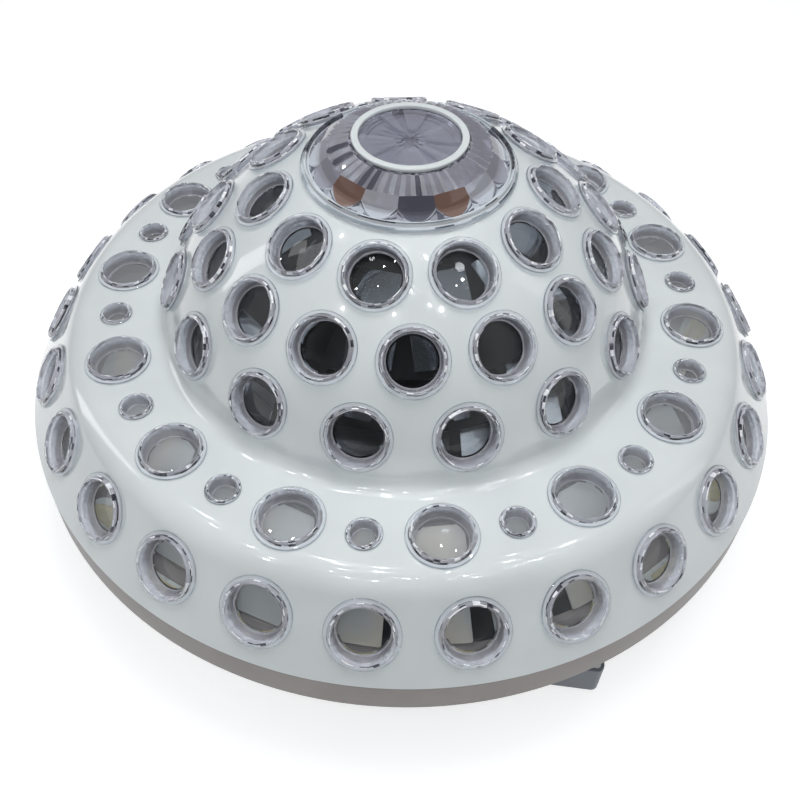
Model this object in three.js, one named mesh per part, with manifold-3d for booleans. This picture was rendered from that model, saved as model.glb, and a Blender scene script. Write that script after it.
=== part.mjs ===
// Mushroom effect light: a white moulded shell with five rings of clear lens cups and a cut crystal crown,
// on a steel pan that holds the LEDs, the turning mirror basket and the reflector, over a chassis with a yoke.
// Millimetres, +Z up. The origin is on the floor under the middle of the light, and -Y is the front.
import * as THREE from "three";
import { mergeVertices } from "three/addons/utils/BufferGeometryUtils.js";
import Module from "manifold-3d";

const wasm = await Module();
wasm.setup();

// Fits
const seatGap = 0.3;
const cutOverrun = 4;
const screwFit = 0.4;
const pivotFit = 0.6;
const panelFit = 0.4;
const lensFit = 0.5;
const weld = 0.0001;

// Housing, from the floor up
const footHeight = 6;
const chassisHeight = 66;
const rimHeight = 29;
const skirtHeight = 60.5;
const skirtRun = 41.5;
const shoulderBlend = 13;
const ledgeReach = 60.5;
const ringRise = 2.5;
const domeRadius = 197.5;
const domeCentreRise = 32;
const rootBlend = 8;
const shellWall = 3;
const panWall = 2;
const crownOpeningRadius = 62;

const shoulderRadius = domeRadius + ledgeReach;
const rimRadius = shoulderRadius + skirtRun;
const panBottomZ = footHeight + chassisHeight;
const panFloorZ = panBottomZ + panWall;
const rimTopZ = panBottomZ + rimHeight;
const shoulderZ = rimTopZ + skirtHeight;
const ringInnerZ = shoulderZ + ringRise;
const domeCentreZ = panBottomZ + domeCentreRise;
const rootRadius = Math.sqrt(domeRadius ** 2 - (ringInnerZ - domeCentreZ) ** 2);
const skirtLift = Math.atan2(skirtRun, skirtHeight);
const ringLift = Math.PI / 2 - Math.atan2(ringRise, shoulderRadius - rootRadius);

// Numbers of faces round each kind of piece
const shellSides = 28;
const cupSides = 6;
const smallCupSides = 5;
const roundSides = 12;
const smallRoundSides = 8;
const screwSides = 6;
const outerArcSteps = 3;
const innerArcSteps = 2;
const cornerSteps = 3;

const degrees = THREE.MathUtils.degToRad;
const sideSigns = [-1, 1];

// A closed geometry as a solid, with its shared points merged and its empty triangles left out.
function solidOf(geometry) {
  const bare = geometry.clone();
  bare.deleteAttribute("normal");
  bare.deleteAttribute("uv");
  const merged = mergeVertices(bare, weld);
  const index = merged.index.array;
  const kept = [];
  for (let i = 0; i < index.length; i += 3) {
    const [a, b, c] = [index[i], index[i + 1], index[i + 2]];
    if (a !== b && b !== c && c !== a) kept.push(a, b, c);
  }
  const mesh = new wasm.Mesh({
    numProp: 3,
    vertProperties: merged.attributes.position.array,
    triVerts: new Uint32Array(kept),
  });
  return new wasm.Manifold(mesh);
}

// A solid as a geometry that a mesh can carry.
function geometryOf(solid) {
  const mesh = solid.getMesh();
  const geometry = new THREE.BufferGeometry();
  geometry.setAttribute("position", new THREE.BufferAttribute(new Float32Array(mesh.vertProperties), 3));
  geometry.setIndex(new THREE.BufferAttribute(new Uint32Array(mesh.triVerts), 1));
  geometry.computeVertexNormals();
  return geometry;
}

const asSolid = (shape) => (shape.isBufferGeometry ? solidOf(shape) : shape);
const joined = (...shapes) => wasm.Manifold.union(shapes.map(asSolid));
const cutBy = (shape, ...cutters) => asSolid(shape).subtract(joined(...cutters));
const moved = (shape, matrix) => asSolid(shape).transform(matrix.elements);

// A closed outline of [radius, height] points, turned once round Z.
function turned(outline, sides) {
  const points = outline.map(([r, z]) => new THREE.Vector2(r, z));
  const first = points[0];
  const last = points[points.length - 1];
  if (first.x > 0 || last.x > 0) points.push(first.clone());
  return new THREE.LatheGeometry(points, sides).rotateX(Math.PI / 2);
}

// A round plate or ring that stands on a height.
function disc(outer, inner, bottom, height, sides = roundSides) {
  const top = bottom + height;
  return turned([[inner, bottom], [outer, bottom], [outer, top], [inner, top]], sides);
}

const block = (size, middle) => new THREE.BoxGeometry(...size).translate(...middle);

// A round bar along +Y from a given place.
const rod = (radius, from, length, sides = smallRoundSides) =>
  new THREE.CylinderGeometry(radius, radius, length, sides).translate(0, from + length / 2, 0);

// Azimuth 0 is the front and grows towards +X.
const onCircle = (radius, azimuth, z = 0) =>
  new THREE.Vector3(radius * Math.sin(azimuth), -radius * Math.cos(azimuth), z);

// A frame on the shell: its Z is the outward normal, raised by a lift from level.
function frameAt(radius, height, azimuth, lift) {
  const along = new THREE.Vector3(Math.cos(azimuth), Math.sin(azimuth), 0);
  const normal = onCircle(Math.cos(lift), azimuth, Math.sin(lift));
  const side = new THREE.Vector3().crossVectors(normal, along);
  return new THREE.Matrix4().makeBasis(along, side, normal).setPosition(onCircle(radius, azimuth, height));
}

// One face of the shell's wall, from the rim over the shoulder and the ring to the crown's opening.
function shellFace(inset, arcSteps) {
  const radius = domeRadius - inset;
  const rootZ = ringInnerZ - inset;
  const rim = new THREE.Vector2(rimRadius - inset, rimTopZ + seatGap);
  const shoulder = new THREE.Vector2(shoulderRadius - inset, shoulderZ - inset);
  const root = new THREE.Vector2(Math.sqrt(radius ** 2 - (rootZ - domeCentreZ) ** 2), rootZ);
  const towards = (from, to, far) => from.clone().add(to.clone().sub(from).setLength(far)).toArray();
  const startAngle = Math.asin((rootZ - domeCentreZ) / radius) + rootBlend / radius;
  const path = new THREE.Path();
  path.moveTo(...rim.toArray());
  path.lineTo(...towards(shoulder, rim, shoulderBlend));
  path.quadraticCurveTo(...shoulder.toArray(), ...towards(shoulder, root, shoulderBlend));
  path.lineTo(...towards(root, shoulder, rootBlend));
  path.lineTo(radius * Math.cos(startAngle), domeCentreZ + radius * Math.sin(startAngle));
  path.absarc(0, domeCentreZ, radius, startAngle, Math.acos(crownOpeningRadius / radius), false);
  return path.getPoints(arcSteps).map((p) => p.toArray());
}

// Lens cups: a clear flange on the shell, a raised bead, and a recess down to a flat window
const bigCup = {
  flange: 24.3,
  collar: 20.6,
  bead: 21.4,
  rise: 5,
  window: 17.3,
  depth: 7,
  floor: 2.2,
  sides: cupSides,
};
const smallCup = {
  flange: 12.4,
  collar: 9.8,
  bead: 10.8,
  rise: 3,
  window: 8,
  depth: 7,
  floor: 2.2,
  sides: smallCupSides,
};

// Rows of cups: how many, the azimuth of one, and where the row lies on the shell
const skirtRowShare = 0.503;
const ringRowShare = 0.5274;
const ringCount = 14;
const ringStart = 13.4;
const skirtRow = {
  cup: bigCup,
  count: 25,
  start: 1.9,
  radius: rimRadius - skirtRun * skirtRowShare,
  z: rimTopZ + skirtHeight * skirtRowShare,
  lift: skirtLift,
};
const ringRow = {
  cup: bigCup,
  count: ringCount,
  start: ringStart,
  radius: rootRadius + (shoulderRadius - rootRadius) * ringRowShare,
  z: ringInnerZ - ringRise * ringRowShare,
  lift: ringLift,
};
const smallRow = { ...ringRow, cup: smallCup, start: ringStart + 180 / ringCount };
const domeRow = ({ count, start, lift }) => ({
  cup: bigCup,
  count,
  start,
  radius: domeRadius * Math.cos(degrees(lift)),
  z: domeCentreZ + domeRadius * Math.sin(degrees(lift)),
  lift: degrees(lift),
});
const lowerRow = domeRow({ count: 15, start: 20.6, lift: 28.1 });
const middleRow = domeRow({ count: 15, start: 8.6, lift: 43.4 });
const upperRow = domeRow({ count: 11, start: 27.7, lift: 58.8 });

const cupFrames = (row) =>
  Array.from({ length: row.count }, (_, i) => ({
    cup: row.cup,
    matrix: frameAt(row.radius, row.z, degrees(row.start + (360 * i) / row.count), row.lift),
  }));

const shellFrames = [skirtRow, ringRow, smallRow, lowerRow, middleRow, upperRow].flatMap(cupFrames);

function lensCup(cup) {
  const under = -cup.depth - cup.floor;
  const outline = [
    [0, under],
    [cup.collar, under],
    [cup.collar, seatGap],
    [cup.flange, seatGap],
    [cup.bead, cup.rise],
    [cup.window, -cup.depth],
    [0, -cup.depth],
  ];
  return turned(outline, cup.sides);
}

// The cups of one ring, joined behind the shell by a thin clear runner from window to window.
const runnerRadius = 0.7;
const runnerSides = 3;
const runnerStartShare = 0.84;
function lensRing(frames) {
  const cups = frames.map(({ cup, matrix }) => moved(lensCup(cup), matrix));
  const runnerEnd = ({ cup, matrix }, side) =>
    new THREE.Vector3(side * cup.collar * runnerStartShare, 0, -cup.depth - cup.floor / 2).applyMatrix4(matrix);
  const runners = frames.map((frame, i) => {
    const from = runnerEnd(frame, 1);
    const along = runnerEnd(frames[(i + 1) % frames.length], -1).sub(from);
    const length = along.length();
    along.normalize();
    const across = new THREE.Vector3().setFromMatrixColumn(frame.matrix, 2).cross(along).normalize();
    const up = new THREE.Vector3().crossVectors(across, along);
    const place = new THREE.Matrix4().makeBasis(across, along, up).setPosition(from);
    return moved(rod(runnerRadius, 0, length, runnerSides), place);
  });
  return joined(...cups, ...runners);
}

// Screws that hold the pan to five posts under the shell, between the skirt's lens cups
const postCount = 5;
const postRadius = 6;
const postInset = 18.5;
const postStart = skirtRow.start + 180 / skirtRow.count;
const postRowRadius = rimRadius - postInset;
const screwRadius = 2;
const screwHeadRadius = 4.5;
const screwHeadHeight = 2.6;
const screwBite = 12;
const postPlaces = Array.from({ length: postCount }, (_, i) =>
  onCircle(postRowRadius, degrees(postStart + (360 * i) / postCount)),
);
const atPosts = (shape) => postPlaces.map((p) => shape.clone().translate(p.x, p.y, p.z));
const screwHole = (bottom, height) => disc(screwRadius + screwFit, 0, bottom, height, screwSides);

function domeShell() {
  const innerFace = shellFace(shellWall, innerArcSteps).reverse();
  const wall = turned([...shellFace(0, outerArcSteps), ...innerFace], shellSides);
  const reach = shellWall + cutOverrun;
  const openings = shellFrames.map(({ cup, matrix }) =>
    moved(disc(cup.collar + lensFit, 0, -reach, 2 * reach, cup.sides), matrix),
  );
  const postBottom = panFloorZ + seatGap;
  const midWall = shellFace(shellWall / 2, outerArcSteps);
  const under = [[0, postBottom], [midWall[0][0], postBottom]];
  const inside = solidOf(turned([...under, ...midWall, [0, midWall[midWall.length - 1][1]]], shellSides));
  const tallPost = disc(postRadius, 0, postBottom, shoulderZ - postBottom, smallRoundSides);
  const posts = joined(...atPosts(tallPost)).intersect(inside);
  const bores = atPosts(screwHole(postBottom - cutOverrun, screwBite + 2 * cutOverrun));
  return cutBy(joined(cutBy(wall, ...openings), posts), ...bores);
}

function panScrew(place) {
  const headBottom = panBottomZ - seatGap - screwHeadHeight;
  const shank = disc(screwRadius, 0, headBottom, screwHeadHeight + panWall + screwBite, screwSides);
  const head = disc(screwHeadRadius, 0, headBottom, screwHeadHeight, smallRoundSides);
  return joined(shank, head).translate(place.toArray());
}

// The crown: a thick clear lens with a flange and two cut tiers, a white ring and a flat window
const crownFlangeRadius = 76;
const crownFlangeHeight = 8;
const crownShoulderRadius = 70;
const crownFacetRadius = 58;
const crownRise = 26;
const crownRingRadius = 40.5;
const crownRingInnerRadius = 35.5;
const crownRingHeight = 3;
const crownWindowThickness = 4;
const crownWall = 5;
const crownSpigotDepth = 9;
const crownSeatZ = domeCentreZ + Math.sqrt(domeRadius ** 2 - crownFlangeRadius ** 2) + seatGap;
const crownMouthZ = domeCentreZ + Math.sqrt(domeRadius ** 2 - crownOpeningRadius ** 2) + seatGap;
const crownTopZ = crownSeatZ + crownRise;
const crownLedgeZ = crownTopZ - crownRingHeight;

function crownLens() {
  const spigotRadius = crownOpeningRadius - shellWall;
  const outline = [
    [spigotRadius - crownWall, crownMouthZ - crownSpigotDepth],
    [spigotRadius, crownMouthZ - crownSpigotDepth],
    [spigotRadius, crownMouthZ],
    [crownOpeningRadius, crownMouthZ],
    [crownFlangeRadius, crownSeatZ],
    [crownFlangeRadius, crownSeatZ + crownFlangeHeight / 2],
    [crownShoulderRadius, crownSeatZ + crownFlangeHeight],
    [crownFacetRadius, (crownSeatZ + crownFlangeHeight + crownTopZ) / 2],
    [crownRingRadius, crownLedgeZ],
    [crownRingInnerRadius, crownLedgeZ],
    [crownRingInnerRadius, crownLedgeZ - crownWindowThickness],
  ];
  return turned(outline, shellSides);
}

const crownRing = () =>
  disc(crownRingRadius, crownRingInnerRadius, crownLedgeZ + seatGap, crownRingHeight - seatGap, shellSides);

const crownWindow = () =>
  disc(crownRingInnerRadius - seatGap, 0, crownLedgeZ - crownWindowThickness, crownWindowThickness, shellSides);

// The base pan: a steel dish whose upright rim is the taupe band under the shell
const shaftOpeningRadius = 30;
function basePan() {
  const outline = [
    [0, panBottomZ],
    [rimRadius, panBottomZ],
    [rimRadius, rimTopZ],
    [rimRadius - panWall, rimTopZ],
    [rimRadius - panWall, panFloorZ],
    [0, panFloorZ],
  ];
  const cutBottom = panBottomZ - cutOverrun;
  const cutHeight = panWall + 2 * cutOverrun;
  return cutBy(
    turned(outline, shellSides),
    ...atPosts(screwHole(cutBottom, cutHeight)),
    disc(shaftOpeningRadius, 0, cutBottom, cutHeight),
    atFan(disc(fanDuctRadius, 0, cutBottom, cutHeight)),
  );
}

// The chassis: a shallow round steel case with four flats, for the yoke's pivots, the panel and the vents
const chassisInset = 49.5;
const chassisWidth = 320;
const chassisEndFlat = 16;
const chassisWall = 2;
const chassisRadius = rimRadius - chassisInset;
const chassisDepth = 2 * (chassisRadius - chassisEndFlat);
const chassisFloorZ = footHeight + chassisWall + seatGap;
const chassisTopZ = panBottomZ - seatGap;
const pivotZ = 36;
const pivotRadius = 5;
const ventCount = 7;
const ventPitch = 16;
const ventWidth = 6;
const ventHeight = 34;
const panelHeight = 50;
const panelLap = 7;
const panelThickness = 2;
const panelMidZ = footHeight + chassisHeight / 2;

// The fan's sizes and its place in a corner of the chassis, shared by the pan's vent and the intake
const fanFrameSize = 80;
const fanFrameHeight = 25;
const fanFrameWall = 4;
const fanDuctRadius = fanFrameSize / 2 - fanFrameWall;
const fanTipGap = 1.5;
const fanHubRadius = 16;
const fanHubGap = 1;
const fanGuardHeight = 4;
const fanStrutWidth = 3;
const fanBladeCount = 5;
const fanBladeThickness = 1.6;
const fanBladePitch = 38;
const fanSideGap = 60;
const fanEndGap = 74;
const fanX = chassisWidth / 2 - fanSideGap - fanFrameSize / 2;
const fanY = chassisDepth / 2 - fanEndGap - fanFrameSize / 2;
const atFan = (shape) => shape.translate(fanX, fanY, 0);

function chassisSlab(inset, bottom, top) {
  const height = top - bottom;
  const round = solidOf(disc(chassisRadius - inset, 0, bottom, height, shellSides));
  const flats = [chassisWidth - 2 * inset, chassisDepth - 2 * inset, 3 * height];
  return round.intersect(solidOf(block(flats, [0, 0, bottom])));
}

function chassisCase() {
  const wallCut = chassisWall + 2 * cutOverrun;
  const pivots = sideSigns.map((side) =>
    rod(pivotRadius + pivotFit, (side * chassisDepth) / 2 - wallCut / 2, wallCut).translate(0, 0, pivotZ),
  );
  const vents = Array.from({ length: ventCount }, (_, i) => {
    const y = (i - (ventCount - 1) / 2) * ventPitch;
    return block([wallCut, ventWidth, ventHeight], [chassisWidth / 2, y, panelMidZ]);
  });
  const panelWindow = [wallCut, panelLength - 2 * panelLap, panelHeight - 2 * panelLap];
  return cutBy(
    chassisSlab(0, footHeight, chassisTopZ),
    chassisSlab(chassisWall, footHeight + chassisWall, chassisTopZ + cutOverrun),
    ...pivots,
    ...vents,
    block(panelWindow, [-chassisWidth / 2, 0, panelMidZ]),
    atFan(disc(fanDuctRadius, 0, footHeight - cutOverrun, wallCut)),
  );
}

const footRadius = 14;
const footInsetX = 40;
const footInsetY = 64;
const footX = chassisWidth / 2 - footInsetX;
const footY = chassisDepth / 2 - footInsetY;
const rubberFoot = (sideX, sideY) =>
  disc(footRadius, 0, 0, footHeight - seatGap).translate(sideX * footX, sideY * footY, 0);

// The safety eye's sizes, on one of the flat faces of the round chassis
const eyeRadius = 9;
const eyeWire = 2.5;
const eyePlateSize = 16;
const eyePlateThickness = 3;
const eyeFacet = 11;
const eyeAzimuth = ((2 * eyeFacet + 1) * Math.PI) / shellSides;
const eyeFaceRadius = chassisRadius * Math.cos(Math.PI / shellSides);
const eyeStandoff = seatGap + eyePlateThickness / 2 + eyeRadius + eyeWire / 2;
const eyeReach = (eyeFaceRadius + eyeStandoff) * Math.sin(eyeAzimuth) + eyeRadius + eyeWire;

// The yoke, folded out to +X under the rim, with its friction washers, clamp knobs and lock nuts.
// Its crossbar swings clear of the chassis and of the safety eye.
const yokeSwingGap = 15;
const yokeHeight = 30;
const yokePlate = 3;
const yokeCorner = 9;
const yokeTail = 17;
const yokeLip = 8;
const washerRadius = 15;
const washerThickness = 4.4;
const hangingHoleRadius = 6.5;
const sideHoleRadius = 4.5;
const sideHoleOffset = 60;
const yokeReach = Math.max(chassisWidth / 2, eyeReach) + yokeSwingGap;
const yokeInnerY = chassisDepth / 2 + washerThickness + 2 * seatGap;
const yokeOuterY = yokeInnerY + yokePlate;

// A U outline whose open end faces -X, from a start to the crossbar's outer face.
function yokeOutline(start) {
  const inner = yokeReach - yokePlate;
  const bend = yokeCorner - yokePlate;
  const shape = new THREE.Shape();
  shape.moveTo(start, -yokeOuterY);
  shape.lineTo(yokeReach - yokeCorner, -yokeOuterY);
  shape.quadraticCurveTo(yokeReach, -yokeOuterY, yokeReach, yokeCorner - yokeOuterY);
  shape.lineTo(yokeReach, yokeOuterY - yokeCorner);
  shape.quadraticCurveTo(yokeReach, yokeOuterY, yokeReach - yokeCorner, yokeOuterY);
  shape.lineTo(start, yokeOuterY);
  shape.lineTo(start, yokeInnerY);
  shape.lineTo(inner - bend, yokeInnerY);
  shape.quadraticCurveTo(inner, yokeInnerY, inner, yokeInnerY - bend);
  shape.lineTo(inner, bend - yokeInnerY);
  shape.quadraticCurveTo(inner, -yokeInnerY, inner - bend, -yokeInnerY);
  shape.lineTo(start, -yokeInnerY);
  return shape;
}

function yokeStrap() {
  const bottom = pivotZ - yokeHeight / 2;
  const settings = { depth: yokeHeight, bevelEnabled: false, curveSegments: cornerSteps };
  const strap = new THREE.ExtrudeGeometry(yokeOutline(-yokeTail), settings).translate(0, 0, bottom);
  const lipSize = [yokeLip, 2 * (yokeInnerY - yokeCorner), yokePlate];
  const lip = block(lipSize, [yokeReach - yokeLip / 2 - yokePlate / 2, 0, bottom + yokeHeight - yokePlate / 2]);
  const pivot = rod(pivotRadius + pivotFit, -yokeOuterY - cutOverrun, 2 * (yokeOuterY + cutOverrun));
  const holes = [[0, hangingHoleRadius], [-sideHoleOffset, sideHoleRadius], [sideHoleOffset, sideHoleRadius]];
  const cuts = holes.map(([y, radius]) =>
    rod(radius, yokeReach - yokePlate - cutOverrun, yokePlate + 2 * cutOverrun)
      .rotateZ(-Math.PI / 2)
      .translate(0, y, pivotZ),
  );
  return cutBy(joined(strap, lip), pivot.translate(0, 0, pivotZ), ...cuts);
}

// Turns a piece drawn up +Z so that it points out along -Y (side -1) or +Y (side 1), on the pivot.
const onPivot = (side) => new THREE.Matrix4().makeRotationX((-side * Math.PI) / 2).setPosition(0, 0, pivotZ);

const frictionWasher = (side) =>
  moved(disc(washerRadius, pivotRadius + pivotFit, chassisDepth / 2 + seatGap, washerThickness), onPivot(side));

const knobRadius = 18;
const knobLobes = 6;
const knobLobeDepth = 3.5;
const knobGrip = 14;
const knobBossRadius = 10;
const knobBossHeight = 3;
const studInside = 14;
const stepsPerLobe = 4;
function clampKnob(side) {
  const outline = new THREE.Shape();
  const steps = knobLobes * stepsPerLobe;
  for (let i = 0; i < steps; i++) {
    const angle = (2 * Math.PI * i) / steps;
    const radius = knobRadius - (knobLobeDepth * (1 - Math.cos(knobLobes * angle))) / 2;
    const point = [radius * Math.cos(angle), radius * Math.sin(angle)];
    if (i === 0) outline.moveTo(...point);
    else outline.lineTo(...point);
  }
  const bossStart = yokeOuterY + seatGap;
  const gripStart = bossStart + knobBossHeight;
  const studStart = chassisDepth / 2 - chassisWall - studInside;
  const grip = new THREE.ExtrudeGeometry(outline, { depth: knobGrip, bevelEnabled: false });
  const boss = disc(knobBossRadius, 0, bossStart, knobBossHeight + knobGrip / 2, smallRoundSides);
  const stud = disc(pivotRadius, 0, studStart, gripStart + knobGrip / 2 - studStart, smallRoundSides);
  return moved(joined(grip.translate(0, 0, gripStart), boss, stud), onPivot(side));
}

const nutRadius = 9;
const nutThickness = 6;
const lockNut = (side) => {
  const start = chassisDepth / 2 - chassisWall - seatGap - nutThickness;
  const hexagon = disc(nutRadius, 0, start, nutThickness, screwSides);
  const boreDepth = nutThickness + 2 * cutOverrun;
  const bore = disc(pivotRadius + pivotFit, 0, start - cutOverrun, boreDepth, smallRoundSides);
  return moved(cutBy(hexagon, bore), onPivot(side));
};

// The control panel, drawn facing +Y and then turned to face -X
const panelBackY = chassisWidth / 2 + seatGap;
const panelFaceY = panelBackY + panelThickness;
const rowOffset = 11;
const upperLine = panelMidZ + rowOffset;
const lowerLine = panelMidZ - rowOffset;
const displayWidth = 54;
const displayHeight = 17;
const displayThickness = 2;
const buttonRadius = 5;
const buttonPitch = 17;
const buttonProud = 2.5;
const buttonFlange = 1;
const buttonThickness = 1.5;
const buttonNames = ["mode", "down", "up", "enter"];
const socketRadius = 11;
const socketBoreRadius = 8;
const socketDepth = 16;
const socketFlange = 26;
const socketFloor = 2;
const inletWidth = 27;
const inletHeight = 20;
const inletDepth = 18;
const inletWall = 2.5;
const inletLap = 3;
const flangeThickness = 2;
const switchWidth = 22;
const switchHeight = 14;
const switchDepth = 14;
const switchWall = 2;
const switchLap = 2.5;
const rockerGap = 0.6;
const rockerProud = 3;
const rockerDepth = 8;
const rockerSlope = 1.5;
const rockerPinRadius = 1.2;

// The row on the panel: each piece stands off the one before it by a gap, and they set the panel's length
const switchEndGap = 23;
const displayGap = 20;
const socketsGap = 18;
const socketPitchGap = 3;
const inletGap = 6.5;
const inletEndGap = 10.5;
const socketPitch = socketFlange + socketPitchGap;
const socketsRun = socketPitch + socketFlange;
const panelLength =
  switchEndGap +
  switchWidth +
  displayGap +
  displayWidth +
  socketsGap +
  socketsRun +
  inletGap +
  inletWidth +
  inletEndGap;
const switchX = switchEndGap + switchWidth / 2 - panelLength / 2;
const displayX = switchX + switchWidth / 2 + displayGap + displayWidth / 2;
const signalInX = displayX + displayWidth / 2 + socketsGap + socketFlange / 2;
const socketPlaces = { signal_in_socket: signalInX, signal_out_socket: signalInX + socketPitch };
const inletX = panelLength / 2 - inletEndGap - inletWidth / 2;
const facingOut = new THREE.Matrix4().makeRotationZ(Math.PI / 2);
const onPanel = (shape) => moved(shape, facingOut);
const buttonPlace = (i) => displayX + (i - (buttonNames.length - 1) / 2) * buttonPitch;

// A sleeve through the panel with a flange on its face.
function flanged(width, height, depth, lap) {
  const front = panelFaceY + seatGap + flangeThickness;
  const flange = [width + 2 * lap, flangeThickness, height + 2 * lap];
  return joined(
    block([width, depth, height], [0, front - depth / 2, 0]),
    block(flange, [0, front - flangeThickness / 2, 0]),
  );
}

function controlPanel() {
  const plateSize = [panelLength, panelThickness, panelHeight];
  const plate = block(plateSize, [0, panelBackY + panelThickness / 2, panelMidZ]);
  const through = panelThickness + 2 * cutOverrun;
  const roundCut = (radius, x, z, sides) =>
    rod(radius + panelFit, panelBackY - cutOverrun, through, sides).translate(x, 0, z);
  const squareCut = (width, height, x, z) =>
    block([width + 2 * panelFit, through, height + 2 * panelFit], [x, panelBackY + panelThickness / 2, z]);
  const cuts = [
    ...buttonNames.map((_, i) => roundCut(buttonRadius, buttonPlace(i), lowerLine, smallRoundSides)),
    ...Object.values(socketPlaces).map((x) => roundCut(socketRadius, x, panelMidZ, roundSides)),
    squareCut(inletWidth, inletHeight, inletX, panelMidZ),
    squareCut(switchWidth, switchHeight, switchX, panelMidZ),
  ];
  return onPanel(cutBy(plate, ...cuts));
}

const displayWindow = () =>
  onPanel(
    block(
      [displayWidth, displayThickness, displayHeight],
      [displayX, panelFaceY + seatGap + displayThickness / 2, upperLine],
    ),
  );

function pushButton(i) {
  const flangeStart = panelBackY - seatGap - buttonThickness;
  const stem = rod(buttonRadius, flangeStart, panelFaceY + buttonProud - flangeStart);
  const flange = rod(buttonRadius + buttonFlange, flangeStart, buttonThickness);
  return onPanel(joined(stem, flange).translate([buttonPlace(i), 0, lowerLine]));
}

function signalSocket(x) {
  const front = panelFaceY + seatGap + flangeThickness;
  const sleeve = rod(socketRadius, front - socketDepth, socketDepth, roundSides);
  const flange = block([socketFlange, flangeThickness, socketFlange], [0, front - flangeThickness / 2, 0]);
  const bore = rod(socketBoreRadius, front - socketDepth + socketFloor, socketDepth + cutOverrun, roundSides);
  return onPanel(cutBy(joined(sleeve, flange), bore).translate([x, 0, panelMidZ]));
}

function powerInlet() {
  const front = panelFaceY + seatGap + flangeThickness;
  const hollow = block(
    [inletWidth - 2 * inletWall, inletDepth, inletHeight - 2 * inletWall],
    [0, front - inletDepth / 2 + inletWall, 0],
  );
  const body = cutBy(flanged(inletWidth, inletHeight, inletDepth, inletLap), hollow);
  return onPanel(body.translate([inletX, 0, panelMidZ]));
}

function switchHousing() {
  const front = panelFaceY + seatGap + flangeThickness;
  const pocket = block(
    [switchWidth - 2 * switchWall, switchDepth, switchHeight - 2 * switchWall],
    [0, front - switchDepth / 2 + switchWall, 0],
  );
  const body = cutBy(flanged(switchWidth, switchHeight, switchDepth, switchLap), pocket);
  return onPanel(body.translate([switchX, 0, panelMidZ]));
}

// The rocker tips about an upright pin in the middle of its housing.
function switchRocker() {
  const half = switchWidth / 2 - switchWall - rockerGap - rockerSlope;
  const top = panelFaceY + seatGap + flangeThickness + rockerProud;
  const shape = new THREE.Shape();
  shape.moveTo(-half, top);
  shape.lineTo(rockerSlope - half, top - rockerDepth);
  shape.lineTo(half - rockerSlope, top - rockerDepth);
  shape.lineTo(half, top);
  shape.lineTo(0, top - rockerSlope);
  const pocket = switchHeight - 2 * switchWall;
  const height = pocket - 2 * rockerGap;
  const pinLength = pocket - 2 * seatGap;
  const body = new THREE.ExtrudeGeometry(shape, { depth: height, bevelEnabled: false });
  const pin = disc(rockerPinRadius, 0, -pinLength / 2, pinLength, smallRoundSides);
  body.translate(0, 0, -height / 2);
  return onPanel(joined(body, pin.translate(0, panelFaceY + seatGap, 0)).translate([switchX, 0, panelMidZ]));
}

// Drive: a slow geared motor hung under the pan, its bracket, shaft and bush
const motorRadius = 26;
const motorHeight = 30;
const motorDrop = 10;
const neckRadius = 14;
const neckHeight = 4;
const bracketWidth = 90;
const bracketDepth = 30;
const bracketPlate = 2;
const bracketFoot = 12;
const shaftRadius = 4;
const shaftFit = 0.35;
const motorTopZ = panBottomZ - motorDrop;

function driveMotor() {
  const body = disc(motorRadius, 0, motorTopZ - motorHeight, motorHeight);
  const neck = disc(neckRadius, 0, motorTopZ - neckHeight, 2 * neckHeight);
  return joined(body, neck);
}

function motorBracket() {
  const plateZ = motorTopZ + seatGap;
  const topZ = panBottomZ - seatGap;
  const legHeight = topZ - plateZ;
  const legX = bracketWidth / 2 + bracketFoot / 2 - bracketPlate / 2;
  const sides = sideSigns.flatMap((side) => [
    block([bracketPlate, bracketDepth, legHeight], [(side * bracketWidth) / 2, 0, plateZ + legHeight / 2]),
    block([bracketFoot, bracketDepth, bracketPlate], [side * legX, 0, topZ - bracketPlate / 2]),
  ]);
  const plate = block([bracketWidth, bracketDepth, bracketPlate], [0, 0, plateZ + bracketPlate / 2]);
  return cutBy(joined(plate, ...sides), disc(neckRadius + seatGap, 0, plateZ - cutOverrun, 2 * cutOverrun));
}

// LEDs: a finned heat sink on four legs, the board on it and a plate of clear collimators
const sinkRadius = 108;
const sinkStandoff = 12;
const sinkPlate = 4;
const sinkFinHeight = 8;
const sinkFinCount = 9;
const sinkFinPitch = 22;
const sinkFinThickness = 2;
const sinkFinInset = 8;
const sinkLegRadius = 5;
const sinkLegRowRadius = 92;
const sinkLegCount = 4;
const bushRadius = 9;
const bushFlangeRadius = 13;
const bushFlangeHeight = 3;
const boardRadius = 104;
const boardThickness = 1.6;
const boardMargin = 8;
const opticThickness = 2;
const collimatorCount = 9;
const collimatorRowRadius = 72;
const collimatorTopRadius = 15;
const collimatorFootRadius = 7;
const collimatorHeight = 14;
const opticHoleRadius = 24;
const sinkBottomZ = panFloorZ + seatGap;
const sinkPlateZ = sinkBottomZ + sinkStandoff;
const sinkTopZ = sinkPlateZ + sinkPlate;
const boardZ = sinkTopZ + seatGap;
const opticZ = boardZ + boardThickness + seatGap;

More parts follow.
